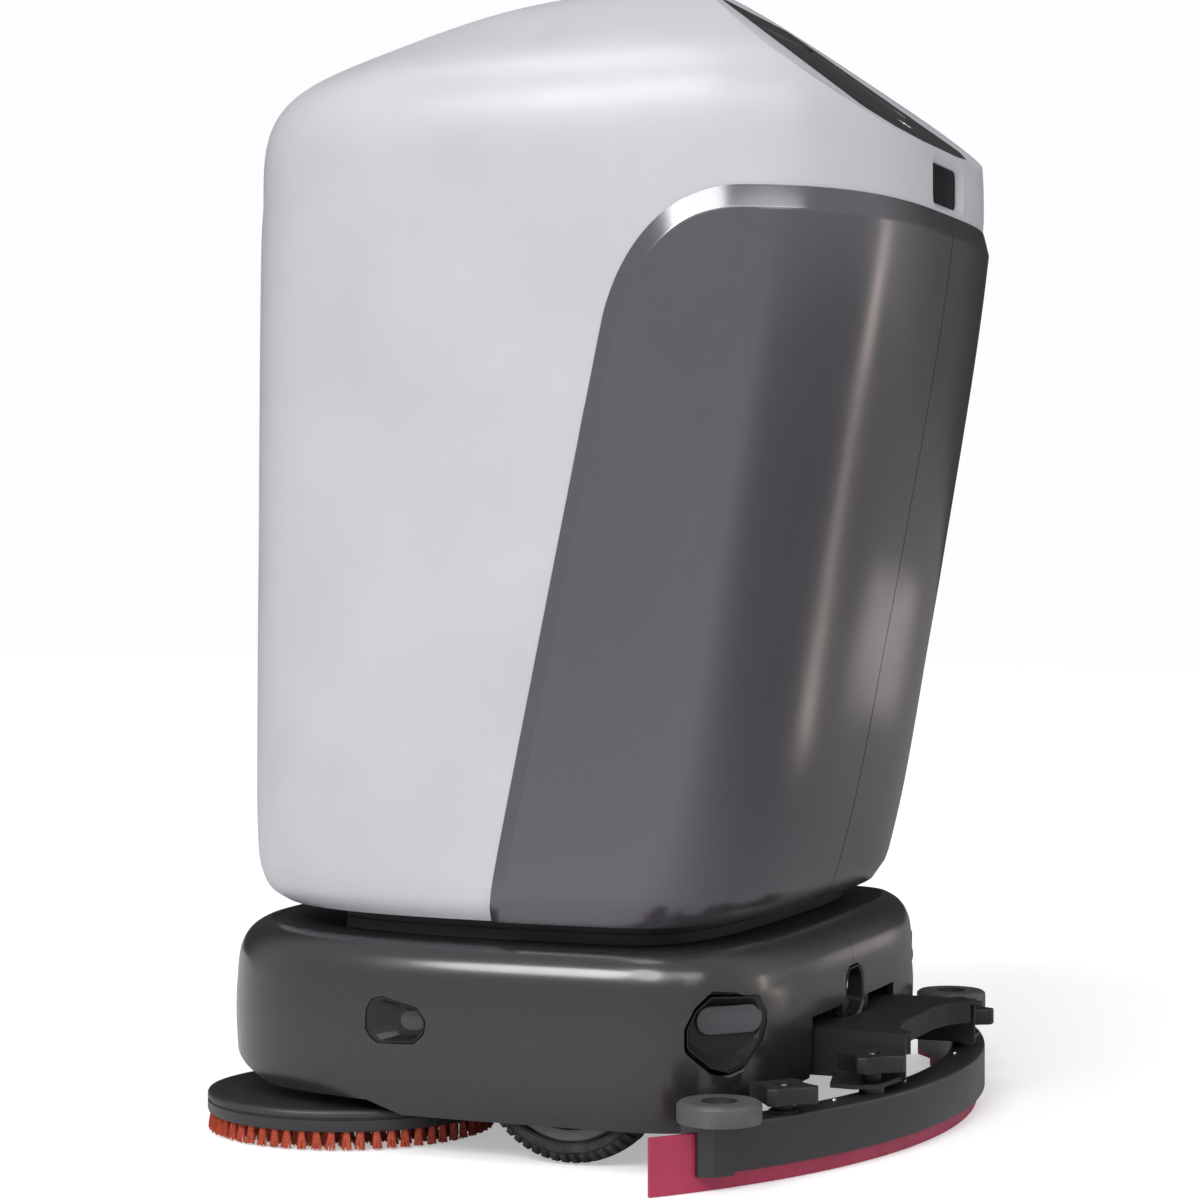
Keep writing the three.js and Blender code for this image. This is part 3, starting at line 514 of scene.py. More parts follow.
# An outline is drawn in X and Y with its depth along Z; these turn the depth another way.
DEPTH_SIDEWAYS = Matrix(((0, 0, 1, 0), (1, 0, 0, 0), (0, 1, 0, 0), (0, 0, 0, 1)))
DEPTH_REARWARDS = Matrix.Rotation(math.radians(-90), 4, "X")


def mirrored(piece, name):
    """A copy reflected from the left side to the right."""
    copy = bpy.data.objects.new(name, piece.data.copy())
    scene.collection.objects.link(copy)
    return transformed(copy, Matrix.Scale(-1, 4, (1, 0, 0)))


def place(piece, body, slot, *replaced):
    """Says what the piece rides on and what it stands for; the slot is not used."""
    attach(piece, body)
    if replaced:
        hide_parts(*replaced)
    return piece


def smoothed(levels, count):
    """Levels of numbers joined by a smooth curve through every level, sampled evenly in the first."""
    table = np.array(levels, float)
    z = table[:, 0]
    samples = np.linspace(z[0], z[-1], count)
    return samples, [curve_through(z, table[:, k], samples) for k in range(1, table.shape[1])]


def curve_through(x, y, at):
    """Monotone cubic interpolation, so that a level stretch stays level."""
    step = np.diff(x)
    slope = np.diff(y) / step
    tangent = np.zeros_like(y)
    tangent[0] = slope[0]
    tangent[-1] = slope[-1]
    for i in range(1, len(y) - 1):
        if slope[i - 1] * slope[i] > 0:
            w1 = 2 * step[i] + step[i - 1]
            w2 = step[i] + 2 * step[i - 1]
            tangent[i] = (w1 + w2) / (w1 / slope[i - 1] + w2 / slope[i])
    i = np.clip(np.searchsorted(x, at) - 1, 0, len(x) - 2)
    t = (at - x[i]) / step[i]
    h00 = 2 * t**3 - 3 * t**2 + 1
    h10 = t**3 - 2 * t**2 + t
    h01 = -2 * t**3 + 3 * t**2
    h11 = t**3 - t**2
    return h00 * y[i] + h10 * step[i] * tangent[i] + h01 * y[i + 1] + h11 * step[i] * tangent[i + 1]


# ---------------------------------------------------------------- the upper body's surface
PLAN_Y = 0.0865  # the line that every plan outline is drawn from
BODY_BOTTOM = 0.218
BODY_WALL = 0.005
ROOF_START = 0.9
ROOF_HEIGHT = 0.212
SHOULDER_HEIGHT = 0.1395
BODY_POWERS = (3.17, 3.2)  # front and rear
CLEAR = 0.0003

# Height, half width, front reach and rear reach, in millimetres.
WALL_LEVELS = [
    (218, 305, 402, 114), (226, 312, 417, 120), (238, 318, 425, 127),
    (261, 321, 431, 134), (315, 322, 433, 148), (475, 322, 432, 180),
    (552, 322, 431, 195), (870, 322, 427, 248), (900, 321, 425, 251),
]
wall_table = np.array(WALL_LEVELS, float) * MM


def wall_at(z):
    """Half width, front reach and rear reach of the upper body at the heights z."""
    z = np.clip(np.atleast_1d(np.asarray(z, float)), BODY_BOTTOM, ROOF_START)
    return [curve_through(wall_table[:, 0], wall_table[:, k], z) for k in (1, 2, 3)]


def superellipse(angle, half_width, front, rear, powers):
    cos = np.cos(angle)
    sin = np.sin(angle)
    power = np.where(sin > 0, powers[1], powers[0])
    reach = np.where(sin > 0, rear, front)
    x = half_width * np.sign(cos) * np.abs(cos) ** (2 / power)
    y = PLAN_Y + reach * np.sign(sin) * np.abs(sin) ** (2 / power)
    return x, y


def ring_at(z, inset, angles):
    half_width, front, rear = (value[0] for value in wall_at(z))
    x, y = superellipse(angles, half_width - inset, front - inset, rear - inset, BODY_POWERS)
    return [(a, b, float(z)) for a, b in zip(x, y)]


def ring_angles(count):
    return (np.arange(count) + 0.5) * 2 * math.pi / count


def body_rings(inset, count):
    """Rings from the body's lower edge to the crown of its roof."""
    angles = ring_angles(count)
    low = BODY_BOTTOM if inset == 0 else BODY_BOTTOM - MM
    heights = np.concatenate([
        np.linspace(low, 0.262, 12),
        np.linspace(0.275, ROOF_START, 42),
    ])
    rings = [ring_at(z, inset, angles) for z in heights]
    top = rings[-1]
    for u in np.linspace(0.03, 0.965, 60):
        scale = 1 - u**2.6
        shoulder = (SHOULDER_HEIGHT - inset) * (1 - scale**6.4) ** (1 / 3.6)
        crown = (ROOF_HEIGHT - SHOULDER_HEIGHT) * (1 - scale**3.1) ** 3.2
        z = ROOF_START + shoulder + crown
        rings.append([(x * scale, PLAN_Y + (y - PLAN_Y) * scale, z) for x, y, _ in top])
    return rings


def closed_loft(name, rings, material, smooth_angle=35.0):
    count = len(rings[0])
    points = [p for ring in rings for p in ring]
    faces = grid_faces(len(rings), count, closed=True)
    last = (len(rings) - 1) * count
    faces += [tuple(range(count))[::-1], tuple(range(last, last + count))]
    return new_object(name, points, faces, material, smooth_angle)


def boolean(piece, other, operation="DIFFERENCE"):
    """Cuts, joins or intersects the piece with another body, which is used up."""
    modifier = piece.modifiers.new("boolean", "BOOLEAN")
    modifier.operation = operation
    modifier.object = other
    modifier.solver = "MANIFOLD"
    if other.data.materials:
        modifier.material_mode = "TRANSFER"
    applied(piece)
    bpy.data.objects.remove(other)
    return piece


CONSOLE_RIDGE = Vector((0, 0.1365, 1.095))
CONSOLE_SLOPE = math.radians(36.9)
CONSOLE_THICKNESS = 0.008
to_console = Matrix.Translation(CONSOLE_RIDGE) @ Matrix.Rotation(-CONSOLE_SLOPE, 4, "X")


def above_console(depth):
    """The space above the console's slope, as a cutter."""
    made = block("above", (-0.6, -0.3, -depth), (0.6, 0.6, 0.7), None)
    return transformed(made, to_console)


def rounded(corners, radii, steps=8):
    """A polygon with each corner replaced by an arc of its own radius."""
    outline = []
    count = len(corners)
    for i, corner in enumerate(corners):
        here = Vector(corner)
        before = (Vector(corners[i - 1]) - here).normalized()
        after = (Vector(corners[(i + 1) % count]) - here).normalized()
        radius = radii if isinstance(radii, (int, float)) else radii[i]
        half = before.angle(after) / 2
        reach = radius / math.tan(half)
        centre = here + (before + after).normalized() * radius / math.sin(half)
        start = here + before * reach - centre
        end = here + after * reach - centre
        turn = math.atan2(start.x * end.y - start.y * end.x, start.dot(end))
        for k in range(steps + 1):
            a = turn * k / steps
            outline.append((
                centre.x + start.x * math.cos(a) - start.y * math.sin(a),
                centre.y + start.x * math.sin(a) + start.y * math.cos(a),
            ))
    return outline


def console_outline(margin):
    corners = [(-111, 0), (-170, 207), (-128, 231), (-64, 240), (64, 240), (128, 231), (170, 207), (111, 0)]
    radii = [16, 10, 40, 60, 60, 40, 10, 16]
    flat = rounded([(x * MM, y * MM) for x, y in corners[::-1]], [r * MM for r in radii[::-1]], 6)
    middle = Vector((0, 0.12))
    grown = []
    for x, y in flat:
        away = (Vector((x, y)) - middle).normalized() * margin
        grown.append((x + away.x, y + away.y))
    return grown


ESTOP_Z = 0.86
ESTOP_FACE_Y = -0.3405
WINDOW = {"y": 0.334, "z": 0.915, "half_width": 0.05, "half_height": 0.0195, "depth": 0.012}


def flared(name, outline, stations, material=None, smooth_angle=35.0):
    """A body from one outline, scaled outwards by margin at each (depth, margin) station."""
    rings = []
    for depth, margin in stations:
        ring = []
        count = len(outline)
        for i, (x, y) in enumerate(outline):
            ahead = Vector(outline[(i + 1) % count]) - Vector(outline[i - 1])
            out = Vector((ahead.y, -ahead.x)).normalized() * margin
            ring.append((x + out.x, y + out.y, depth))
        rings.append(ring)
    return closed_loft(name, rings, material, smooth_angle)


def window_outline():
    w, h = WINDOW["half_width"], WINDOW["half_height"]
    return rounded([(-w, -h), (w, -h), (w, h), (-w, h)], 0.008, 6)


facing_rear = DEPTH_REARWARDS @ Matrix.Rotation(math.pi, 4, "Z")


def make_body_shell():
    shell = closed_loft("white_body_shell", body_rings(0, 240), finishes["shell_white"])
    boolean(shell, above_console(0))
    inner = closed_loft("inner", body_rings(BODY_WALL, 120), None)
    boolean(inner, above_console(BODY_WALL))
    boolean(shell, inner)
    outer = closed_loft("outer", body_rings(0.0002, 120), None)
    to_stop = Matrix.Translation((0, 0, ESTOP_Z)) @ DEPTH_REARWARDS
    bowl = prism("bowl", circle(0.042, 64), -0.39, -0.302, finishes["shell_white"])
    transformed(bowl, to_stop)
    boolean(bowl, outer, "INTERSECT")
    boolean(shell, bowl, "UNION")
    hollow = flared("hollow", circle(0.038, 64), [
        (-0.40, 0.012), (-0.3475, 0.005), (-0.3425, 0.001), (-0.336, 0.0), (-0.31, 0.0), (-0.306, -0.006),
    ])
    transformed(hollow, to_stop)
    boolean(shell, hollow)
    stem = prism("stem", circle(0.0106, 32), -0.4, -0.28, None)
    transformed(stem, to_stop)
    boolean(shell, stem)
    back = WINDOW["y"] - WINDOW["depth"]
    to_window = Matrix.Translation((0, 0, WINDOW["z"])) @ facing_rear
    outer = closed_loft("outer", body_rings(0.0002, 120), None)
    socket = flared("socket", window_outline(), [(back - 0.004, 0.004), (0.36, 0.004)])
    transformed(socket, to_window)
    boolean(socket, outer, "INTERSECT")
    boolean(shell, socket, "UNION")
    recess = flared("recess", window_outline(), [
        (back, 0), (WINDOW["y"] - 0.0035, 0), (WINDOW["y"] - 0.0025, 0.0006), (WINDOW["y"] + 0.003, 0.0065),
        (0.37, 0.012),
    ])
    transformed(recess, to_window)
    boolean(shell, recess)
    doorway = prism("doorway", rounded([(0.045, 0.29), (0.175, 0.29), (0.175, 0.78), (0.128, 0.69)], 0.02),
                    -0.4, 0.4, None)
    transformed(doorway, DEPTH_SIDEWAYS)
    boolean(shell, doorway)
    seat = prism("seat", console_outline(CLEAR), -CONSOLE_THICKNESS - CLEAR, 0.02, None)
    transformed(seat, to_console)
    boolean(shell, seat)
    return place(shell, "base", "shell_white", "body_shell")


def circle(radius, count):
    return [
        (radius * math.cos(2 * math.pi * i / count), radius * math.sin(2 * math.pi * i / count))
        for i in range(count)
    ]


# ---------------------------------------------------------------- service doors
DOOR_PROUD = 0.008
DOOR_TOP = 0.886
DOOR_LEAST = 0.0012  # how far the chamfer's outer edge stands off the shell
SIDE_CHAMFER = 0.016
TOP_CHAMFER = 0.021


def side_angles():
    """Plan angles from the rear centre forward along the left side."""
    rearwards = math.pi / 2 * np.linspace(1, 0, 320) ** 1.7
    forwards = -math.pi / 3 * np.linspace(0, 1, 200)[1:] ** 1.7
    return np.concatenate([rearwards, forwards])


def side_table(z):
    """For heights z: the plan's Y and its length from the rear centre, at every side angle."""
    half_width, front, rear = (value[:, None] for value in wall_at(z))
    x, y = superellipse(side_angles()[None, :], half_width, front, rear, BODY_POWERS)
    step = np.hypot(np.diff(x, axis=1), np.diff(y, axis=1))
    return y, np.concatenate([np.zeros((len(y), 1)), np.cumsum(step, axis=1)], axis=1)


def length_at(y, z):
    """How far round from the rear centre the side reaches y at the height z."""
    ys, lengths = side_table([z])
    return float(np.interp(-y, -ys[0], lengths[0]))


def on_side(flat, proud):
    """Points on the left side from (length round from the rear centre, height), standing proud."""
    flat = np.asarray(flat, float)
    proud = np.asarray(proud, float)
    _, lengths = side_table(flat[:, 1])
    angles = np.array([np.interp(w, row, side_angles()) for w, row in zip(flat[:, 0], lengths)])
    half_width, front, rear = wall_at(flat[:, 1])
    x, y = superellipse(angles, half_width + proud, front + proud, rear + proud, BODY_POWERS)
    return np.stack([x, y, flat[:, 1]], axis=1)


def bezier(points, t):
    a, b, c, d = (np.array(p, float) for p in points)
    return (1 - t) ** 3 * a + 3 * (1 - t) ** 2 * t * b + 3 * (1 - t) * t**2 * c + t**3 * d


def offset_inwards(line, widths):
    """A line moved to its right by its own width at each point."""
    ahead = np.gradient(line, axis=0)
    ahead /= np.linalg.norm(ahead, axis=1)[:, None]
    # The length round runs forwards, so it falls from front to rear: inwards is the lower length.
    normal = np.stack([-ahead[:, 1], ahead[:, 0]], axis=1)
    return line + normal * widths[:, None]


def door_edge():
    """The door's front edge and top edge in the flat, from the bottom round to the rear centre."""
    low = (-12.5, 218.0)
    knee = (103.5, 765.0)
    sweep = [knee, (116, 822), (158, 886), (232, 886)]
    straight = [np.array(low) + (np.array(knee) - np.array(low)) * t for t in np.linspace(0, 1, 40)]
    curve = [bezier(sweep, t) for t in np.linspace(0, 1, 33)[1:]]
    side = [(length_at(y * MM, z * MM), z * MM) for y, z in straight + curve]
    level = [(w, DOOR_TOP) for w in np.linspace(side[-1][0], 0.00015, 44)[1:]]
    edge = np.array(side + level)
    return edge, len(straight) + 16


def coons(left, top, right, bottom):
    """A grid of points spanned by four edges: left and right run upwards, top and bottom rearwards."""
    rows, columns = len(left), len(top)
    b = np.linspace(0, 1, rows)[:, None, None]
    a = np.linspace(0, 1, columns)[None, :, None]
    along = (1 - a) * left[:, None, :] + a * right[:, None, :]
    up = (1 - b) * bottom[None, :, :] + b * top[None, :, :]
    corner = (1 - a) * (1 - b) * bottom[0] + a * (1 - b) * bottom[-1] + (1 - a) * b * top[0] + a * b * top[-1]
    return along + up - corner


def make_left_door():
    edge, split = door_edge()
    count = len(edge)
    widths = SIDE_CHAMFER + (TOP_CHAMFER - SIDE_CHAMFER) * np.clip((np.arange(count) - 40) / 32, 0, 1)
    lines = []
    prouds = []
    for share in (0.0, 0.07, 0.5, 0.94, 1.0, 1.12):
        line = offset_inwards(edge, widths * share)
        line[-1, 0] = edge[-1, 0]
        line[0, 1] = edge[0, 1]
        lines.append(line)
        prouds.append(DOOR_LEAST + (DOOR_PROUD - DOOR_LEAST) * min(1.0, share))
    inner = lines[-1]
    left = inner[:split]
    top = inner[split - 1:]
    rear = np.stack([np.full(split, edge[-1, 0]), np.linspace(BODY_BOTTOM, inner[-1, 1], split)], axis=1)
    foot_w = np.linspace(left[0, 0], edge[-1, 0], len(top))
    foot = np.stack([foot_w, np.full(len(top), BODY_BOTTOM)], axis=1)
    field = coons(left, top, rear, foot)

    flat = []
    proud = []
    faces = []

    def add_grid(rows, heights):
        start = len(flat)
        for row, height in zip(rows, heights):
            flat.extend(row)
            proud.extend([height] * len(row))
        faces.extend(grid_faces(len(rows), len(rows[0]), start=start))

    add_grid(lines, prouds)
    add_grid(list(field), [DOOR_PROUD] * len(field))
    outer = on_side(flat, proud)
    inner_skin = on_side(flat, np.full(len(flat), CLEAR))
    total = len(flat)
    points = np.concatenate([outer, inner_skin])
    skins = faces + [tuple(total + i for i in face[::-1]) for face in faces]
    door = new_object("left_service_door_skin", points, skins, finishes["door_anthracite"])
    work = bmesh.new()
    work.from_mesh(door.data)
    # Weld the chamfer to the field within each skin, then close the two skins round their rims.
    for is_outer in (True, False):
        skin = [v for v in work.verts if v.is_valid and (v.index < total) == is_outer]
        bmesh.ops.remove_doubles(work, verts=skin, dist=1e-5)
    rims = [e for e in work.edges if e.is_boundary]
    bmesh.ops.bridge_loops(work, edges=rims)
    bmesh.ops.recalc_face_normals(work, faces=work.faces)
    work.to_mesh(door.data)
    work.free()
    door.data.shade_smooth()
    door.data.set_sharp_from_angle(angle=math.radians(30))
    return door


def make_doors():
    left = make_left_door()
    right = mirrored(left, "right_service_door_skin")
    place(left, "left_door", "door_anthracite", "left_service_door")
    place(right, "right_door", "door_anthracite", "right_service_door")


# ---------------------------------------------------------------- base skirt
SKIRT = {"half_width": 0.337, "front": 0.4392, "rear": 0.157, "powers": (3.7, 4.0)}
SKIRT_WALL = 0.005
CARRIER_OPENING = ((0.042, 0.15, -0.01), (0.134, 0.4, 0.12))  # lowest and highest corner
# Height and how far the skirt draws in from its widest plan, in millimetres.
SKIRT_LEVELS = [
    (36, 10), (50, 5), (80, 1), (115, 0), (150, 1.5), (168, 3.4), (180, 7), (188, 11.8), (194, 18), (198, 25),
]


def skirt_ring(z, inset, count, inner=0.0):
    x, y = superellipse(
        ring_angles(count),
        SKIRT["half_width"] - inset - inner,
        SKIRT["front"] - inset - inner,
        SKIRT["rear"] - inset - inner,
        SKIRT["powers"],
    )
    return [(a, b, float(z)) for a, b in zip(x, y)]


POCKET_BACK = -0.0155  # the depth that the sensors are seated at
# Middle, facing direction from above (degrees), half width and half height of each pocket.
POCKETS = {
    "side": ((0.337, -0.0985, 0.125), 0, 0.0325, 0.0225),
    "corner": ((0.282, 0.214, 0.123), 47, 0.046, 0.036),
    "rear": ((0.0, 0.243, 0.129), 90, 0.027, 0.024),
}


def pocket_outline(kind, half_width, half_height):
    """A pocket seen from outside, with soft corners."""
    if kind == "corner":
        corners = [(-0.45, -0.85), (-0.05, -1.0), (0.3, -0.85), (0.85, -0.25), (1.0, 0.15), (1.0, 0.45),
                   (0.75, 0.92), (-0.45, 1.0), (-0.8, 0.65), (-1.0, 0.2), (-1.0, -0.3)]
        radii = [0.2, 0.2, 0.25, 0.2, 0.12, 0.15, 0.15, 0.2, 0.2, 0.2, 0.2]
    elif kind == "side":
        corners = [(-1.0, -0.4), (-0.85, -0.75), (-0.58, -1.0), (0.6, -0.92), (0.93, -0.5), (1.0, 0.05),
                   (0.72, 0.6), (-0.45, 1.0), (-0.8, 0.85), (-0.97, 0.4)]
        radii = [0.15, 0.15, 0.2, 0.3, 0.3, 0.3, 0.3, 0.25, 0.25, 0.2]
    else:
        corners = [(-1.0, -0.6), (-0.55, -1.0), (0.55, -1.0), (1.0, -0.6), (1.0, 0.5), (0.55, 1.0),
                   (-0.55, 1.0), (-1.0, 0.5)]
        radii = [0.3] * 8
    points = [(u * half_width, v * half_height) for u, v in corners]
    return rounded(points, [r * half_height for r in radii], 5)


def pocket_matrix(kind):
    middle, facing, _, _ = POCKETS[kind]
    return Matrix.Translation(middle) @ Matrix.Rotation(math.radians(facing), 4, "Z") @ DEPTH_SIDEWAYS


def pocket_rings(kind, stations):
    """The pocket's outline at each depth, grown by the given margin."""
    _, _, half_width, half_height = POCKETS[kind]
    outline = pocket_outline(kind, half_width, half_height)
    return [[(x * (1 + grow / half_width), y * (1 + grow / half_height), depth) for x, y in outline]
            for depth, grow in stations]


def pocket_cutter(kind):
    """The pocket's hole in the skirt, with a narrow rounded lip."""
    stations = [(-0.0300, -0.0004), (-0.0050, -0.0004), (-0.0025, 0.0002), (-0.0010, 0.0012), (0.0, 0.0030),
                (0.03, 0.0120)]
    cutter = closed_loft("pocket", pocket_rings(kind, stations), finishes["skirt_anthracite"], 30)
    return transformed(cutter, pocket_matrix(kind))


def pocket_bowl(kind):
    """The housing behind the hole, dark plastic darkened further with the pocket's painted shade; its sides
    close in on the sensor.
    """
    _, _, half_width, _ = POCKETS[kind]
    closing = {"side": 0.0080, "corner": 0.0110, "rear": 0.0050}[kind]
    bowl = closed_loft("bowl", pocket_rings(kind, [(-0.0185, -0.0010), (0.0, -0.0010)]), pocket_shade_black, 30)
    stations = [(-0.0152, -closing), (-0.0050, -0.0026), (0.02, -0.0022)]
    hollow = closed_loft("hollow", pocket_rings(kind, stations), pocket_shade_black, 30)
    if kind == "side":
        # The front end slopes in gently; the deep end is at the back.
        for vertex in hollow.data.vertices:
            if vertex.co.z < -0.015:
                vertex.co.x = half_width - (half_width - vertex.co.x) * 0.68
    boolean(bowl, hollow)
    transformed(bowl, pocket_matrix(kind))
    heights = [70, 100, 130, 160]
    limit = closed_loft("limit", [skirt_ring(z * MM, 0.0, 200, 0.0012) for z in heights], pocket_shade_black)
    boolean(bowl, limit, "INTERSECT")
    return transformed(bowl, pocket_matrix(kind).inverted())


def make_left_skirt():
    heights, (insets,) = smoothed(SKIRT_LEVELS, 60)
    outer = closed_loft(
        "left_skirt_shell",
        [skirt_ring(z * MM, inset * MM, 280) for z, inset in zip(heights, insets)],
        finishes["skirt_anthracite"],
    )
    inner_levels = [(30, 10), (80, 1), (150, 2), (175, 6), (205, 32)]
    inner = closed_loft(
        "inner", [skirt_ring(z * MM, inset * MM, 96, SKIRT_WALL) for z, inset in inner_levels], None)
    boolean(outer, inner)
    lower = prism("lower", [
        (-0.5, -0.01), (0.42, -0.01), (0.42, 0.062), (0.218, 0.062), (0.18, 0.0362), (-0.096, 0.0362),
        (-0.132, 0.0485), (-0.25, 0.05), (-0.29, 0.062), (-0.354, 0.085), (-0.5, 0.085),
    ], -0.01, 0.5, None)
    transformed(lower, DEPTH_SIDEWAYS)
    boolean(outer, lower)
    boolean(outer, block("opening", *CARRIER_OPENING, None))
    for kind in POCKETS:
        boolean(outer, pocket_cutter(kind))
    boolean(outer, block("other_half", (-0.6, -0.6, -0.1), (0.00035, 0.6, 0.4), None))
    outer.data.set_sharp_from_angle(angle=math.radians(42))
    return outer


def make_skirts():
    left = make_left_skirt()
    right = mirrored(left, "right_skirt_shell")
    place(left, "base", "skirt_anthracite", "left_skirt")
    place(right, "base", "skirt_anthracite", "right_skirt")


def stadium(half_width, half_height, count=10):
    straight = half_width - half_height
    outline = []
    for centre, start in ((straight, -math.pi / 2), (-straight, math.pi / 2)):
        for k in range(count + 1):
            a = start + math.pi * k / count
            outline.append((centre + half_height * math.cos(a), half_height * math.sin(a)))
    return outline


def sensor_face(kind):
    """The housing at the back of a pocket, with its window or lens."""
    parts = [pocket_bowl(kind)]
    if kind == "corner":
        window = prism("window", stadium(0.0334, 0.0128), POCKET_BACK, -0.0118, finishes["sensor_black"],
                       0.0007)
        moved(window, 0.0045, 0.0115)
        parts.append(window)
    elif kind == "side":
        # The near-black window behind the glass is painted shade, for the sensor's deep hole.
        window = prism("window", stadium(0.0150, 0.0112), POCKET_BACK, -0.0146, hole_shade_black, 0.0003)
        glass = prism("glass", stadium(0.0125, 0.0088), -0.0148, -0.0140, finishes["display_glass"], 0.0003)
        for piece in (window, glass):
            moved(piece, 0.0140, -0.0005)
            parts.append(piece)
    else:
        socket = lathe("socket", [(0.0, POCKET_BACK), (0.0105, POCKET_BACK), (0.0105, -0.0120),
                                  (0.0098, -0.0113), (0.0084, -0.0113), (0.0076, -0.0120),
                                  (0.0076, -0.0145), (0.0, -0.0145)],
                       screw_steel, 48)
        # A near-black plug in the socket's hole: painted shade.
        hole = lathe("hole", [(0.0, -0.0149), (0.0077, -0.0149), (0.0077, -0.0128), (0.0, -0.0124)],
                     hole_shade_black, 40)
        for piece in (socket, hole):
            moved(piece, 0.004, 0.005)
            parts.append(piece)
        for side in (-1, 1):
            pad = prism("pad", stadium(0.0062, 0.0034, 6), POCKET_BACK, -0.0105, screw_steel, 0.0008)
            moved(pad, side * 0.0085, -0.0150)
            parts.append(pad)
    return parts


def make_sensors():
    for kind in ("side", "corner"):
        left = joined("left_" + kind + "_sensor_unit", sensor_face(kind))
        transformed(left, pocket_matrix(kind))
        right = mirrored(left, "right_" + kind + "_sensor_unit")
        place(left, "base", "sensor_black", "left_" + kind + "_sensor")
        place(right, "base", "sensor_black", "right_" + kind + "_sensor")
    rear = joined("rear_sensor_unit", sensor_face("rear"))
    transformed(rear, pocket_matrix("rear"))
    place(rear, "base", "sensor_black", "rear_sensor")


# ---------------------------------------------------------------- drive wheels
WHEEL_RADIUS = 0.093
WHEEL_Y = 0.0665
TYRE_X = 0.297
TYRE_HALF = 0.021
RIM_RADIUS = 0.073
LUGS = 56
LUG_STEPS = 6  # points along each lug and its gap
LUG_DEPTH = 0.0026
BOLT_CIRCLE = 0.032


def make_tyre(name):
    """A tyre with a rounded crown, a fine groove each side and a ring of lugs on its shoulders."""
    half = TYRE_HALF
    profile = [
        (RIM_RADIUS, -half + 0.003), (RIM_RADIUS + 0.002, -half + 0.0008), (RIM_RADIUS + 0.005, -half),
        (RIM_RADIUS + 0.0085, -half + 0.0001), (RIM_RADIUS + 0.0095, -half + 0.0012),
        (RIM_RADIUS + 0.0105, -half + 0.0001), (WHEEL_RADIUS - 0.0068, -half + 0.0008),
        (WHEEL_RADIUS - 0.0032, -half + 0.0042), (WHEEL_RADIUS - 0.0012, -half + 0.0082),
        (WHEEL_RADIUS - 0.0003, -half + 0.0125), (WHEEL_RADIUS - 0.0024, -0.0058),
        (WHEEL_RADIUS - 0.0024, -0.0042), (WHEEL_RADIUS, -0.0028), (WHEEL_RADIUS, 0.0),
    ]
    lugged = (5, 6, 7, 8, 9)
    ring = profile + [(r, -z) for r, z in profile[-2::-1]]
    count = len(profile)
    lug_rows = set(lugged) | {2 * count - 2 - i for i in lugged}
    segments = LUGS * LUG_STEPS
    points = []
    for row, (radius, z) in enumerate(ring):
        for i in range(segments):
            in_gap = i % LUG_STEPS in (0, 1) and row in lug_rows
            r = radius - (LUG_DEPTH if in_gap else 0.0)
            x = z * (0.94 if in_gap else 1.0)
            angle = 2 * math.pi * (i + (0.5 if z > 0 else 0.0)) / segments
            points.append((x, r * math.cos(angle), r * math.sin(angle)))
    rows = len(ring)
    faces = [
        (r * segments + i, r * segments + (i + 1) % segments,
         (r + 1) % rows * segments + (i + 1) % segments, (r + 1) % rows * segments + i)
        for r in range(rows) for i in range(segments)
    ]
    return new_object(name, points, faces, finishes["tyre_rubber"], 28.0)


def make_rim(name):
    """The rim seen from outside: a grey ring with a dark dished centre, a hub and five bolts."""
    half = TYRE_HALF
    ring = lathe("ring", [
        (0.0585, 0.003), (0.0592, half - 0.0075), (0.0615, half - 0.0045), (0.0645, half - 0.004),
        (0.0705, half - 0.0045), (0.0725, half - 0.0062), (RIM_RADIUS - 0.0003, half - 0.009),
        (RIM_RADIUS - 0.0003, 0.0035 - half), (0.062, 0.0035 - half), (0.058, -0.004),
    ], finishes["rim_grey"], 96)
    web = lathe("web", [
        (0.0095, half - 0.0085), (0.0165, half - 0.0085), (0.0185, half - 0.0105), (0.0205, half - 0.0145),
        (0.055, half - 0.0145), (0.0586, half - 0.012), (0.0586, -0.0042), (0.0302, -0.0042),
        (0.0302, 0.0045 - half), (0.0095, 0.0045 - half),
    ], finishes["cover_black"], 96)
    parts = [ring, web]
    for k in range(5):
        angle = 2 * math.pi * k / 5
        bolt = prism("bolt", circle(0.0045, 6), half - 0.0146, half - 0.0108, screw_steel, 0.0006)
        moved(bolt, BOLT_CIRCLE * math.cos(angle), BOLT_CIRCLE * math.sin(angle))
        parts.append(bolt)
    rim = joined(name, parts)
    rim.data.transform(Matrix.Rotation(math.radians(90), 4, "Y"))
    return rim


def make_wheels():
    centre = Matrix.Translation((TYRE_X, WHEEL_Y, WHEEL_RADIUS))
    left_tyre = transformed(make_tyre("left_tyre_rubber"), centre)
    left_rim = transformed(make_rim("left_rim"), centre)
    right_tyre = mirrored(left_tyre, "right_tyre_rubber")
    right_rim = mirrored(left_rim, "right_rim")
    place(left_tyre, "left_wheel", "tyre_rubber", "left_tyre")
    place(left_rim, "left_wheel", "rim_grey", "left_wheel_rim")
    place(right_tyre, "right_wheel", "tyre_rubber", "right_tyre")
    place(right_rim, "right_wheel", "rim_grey", "right_wheel_rim")


# ---------------------------------------------------------------- brushes
BRUSHES = {"left": (0.205, -0.2065), "right": (-0.205, -0.2065), "centre": (0.0, -0.0085)}
TUFT_RINGS = [(0.1345, 60), (0.118, 48), (0.101, 42), (0.084, 34)]
FILAMENTS = 9
FILAMENT_WIDTH = 0.00135
TUFT_ROOT = 0.0178  # height at which the tufts leave the disc
TUFT_RADIUS = 0.0016


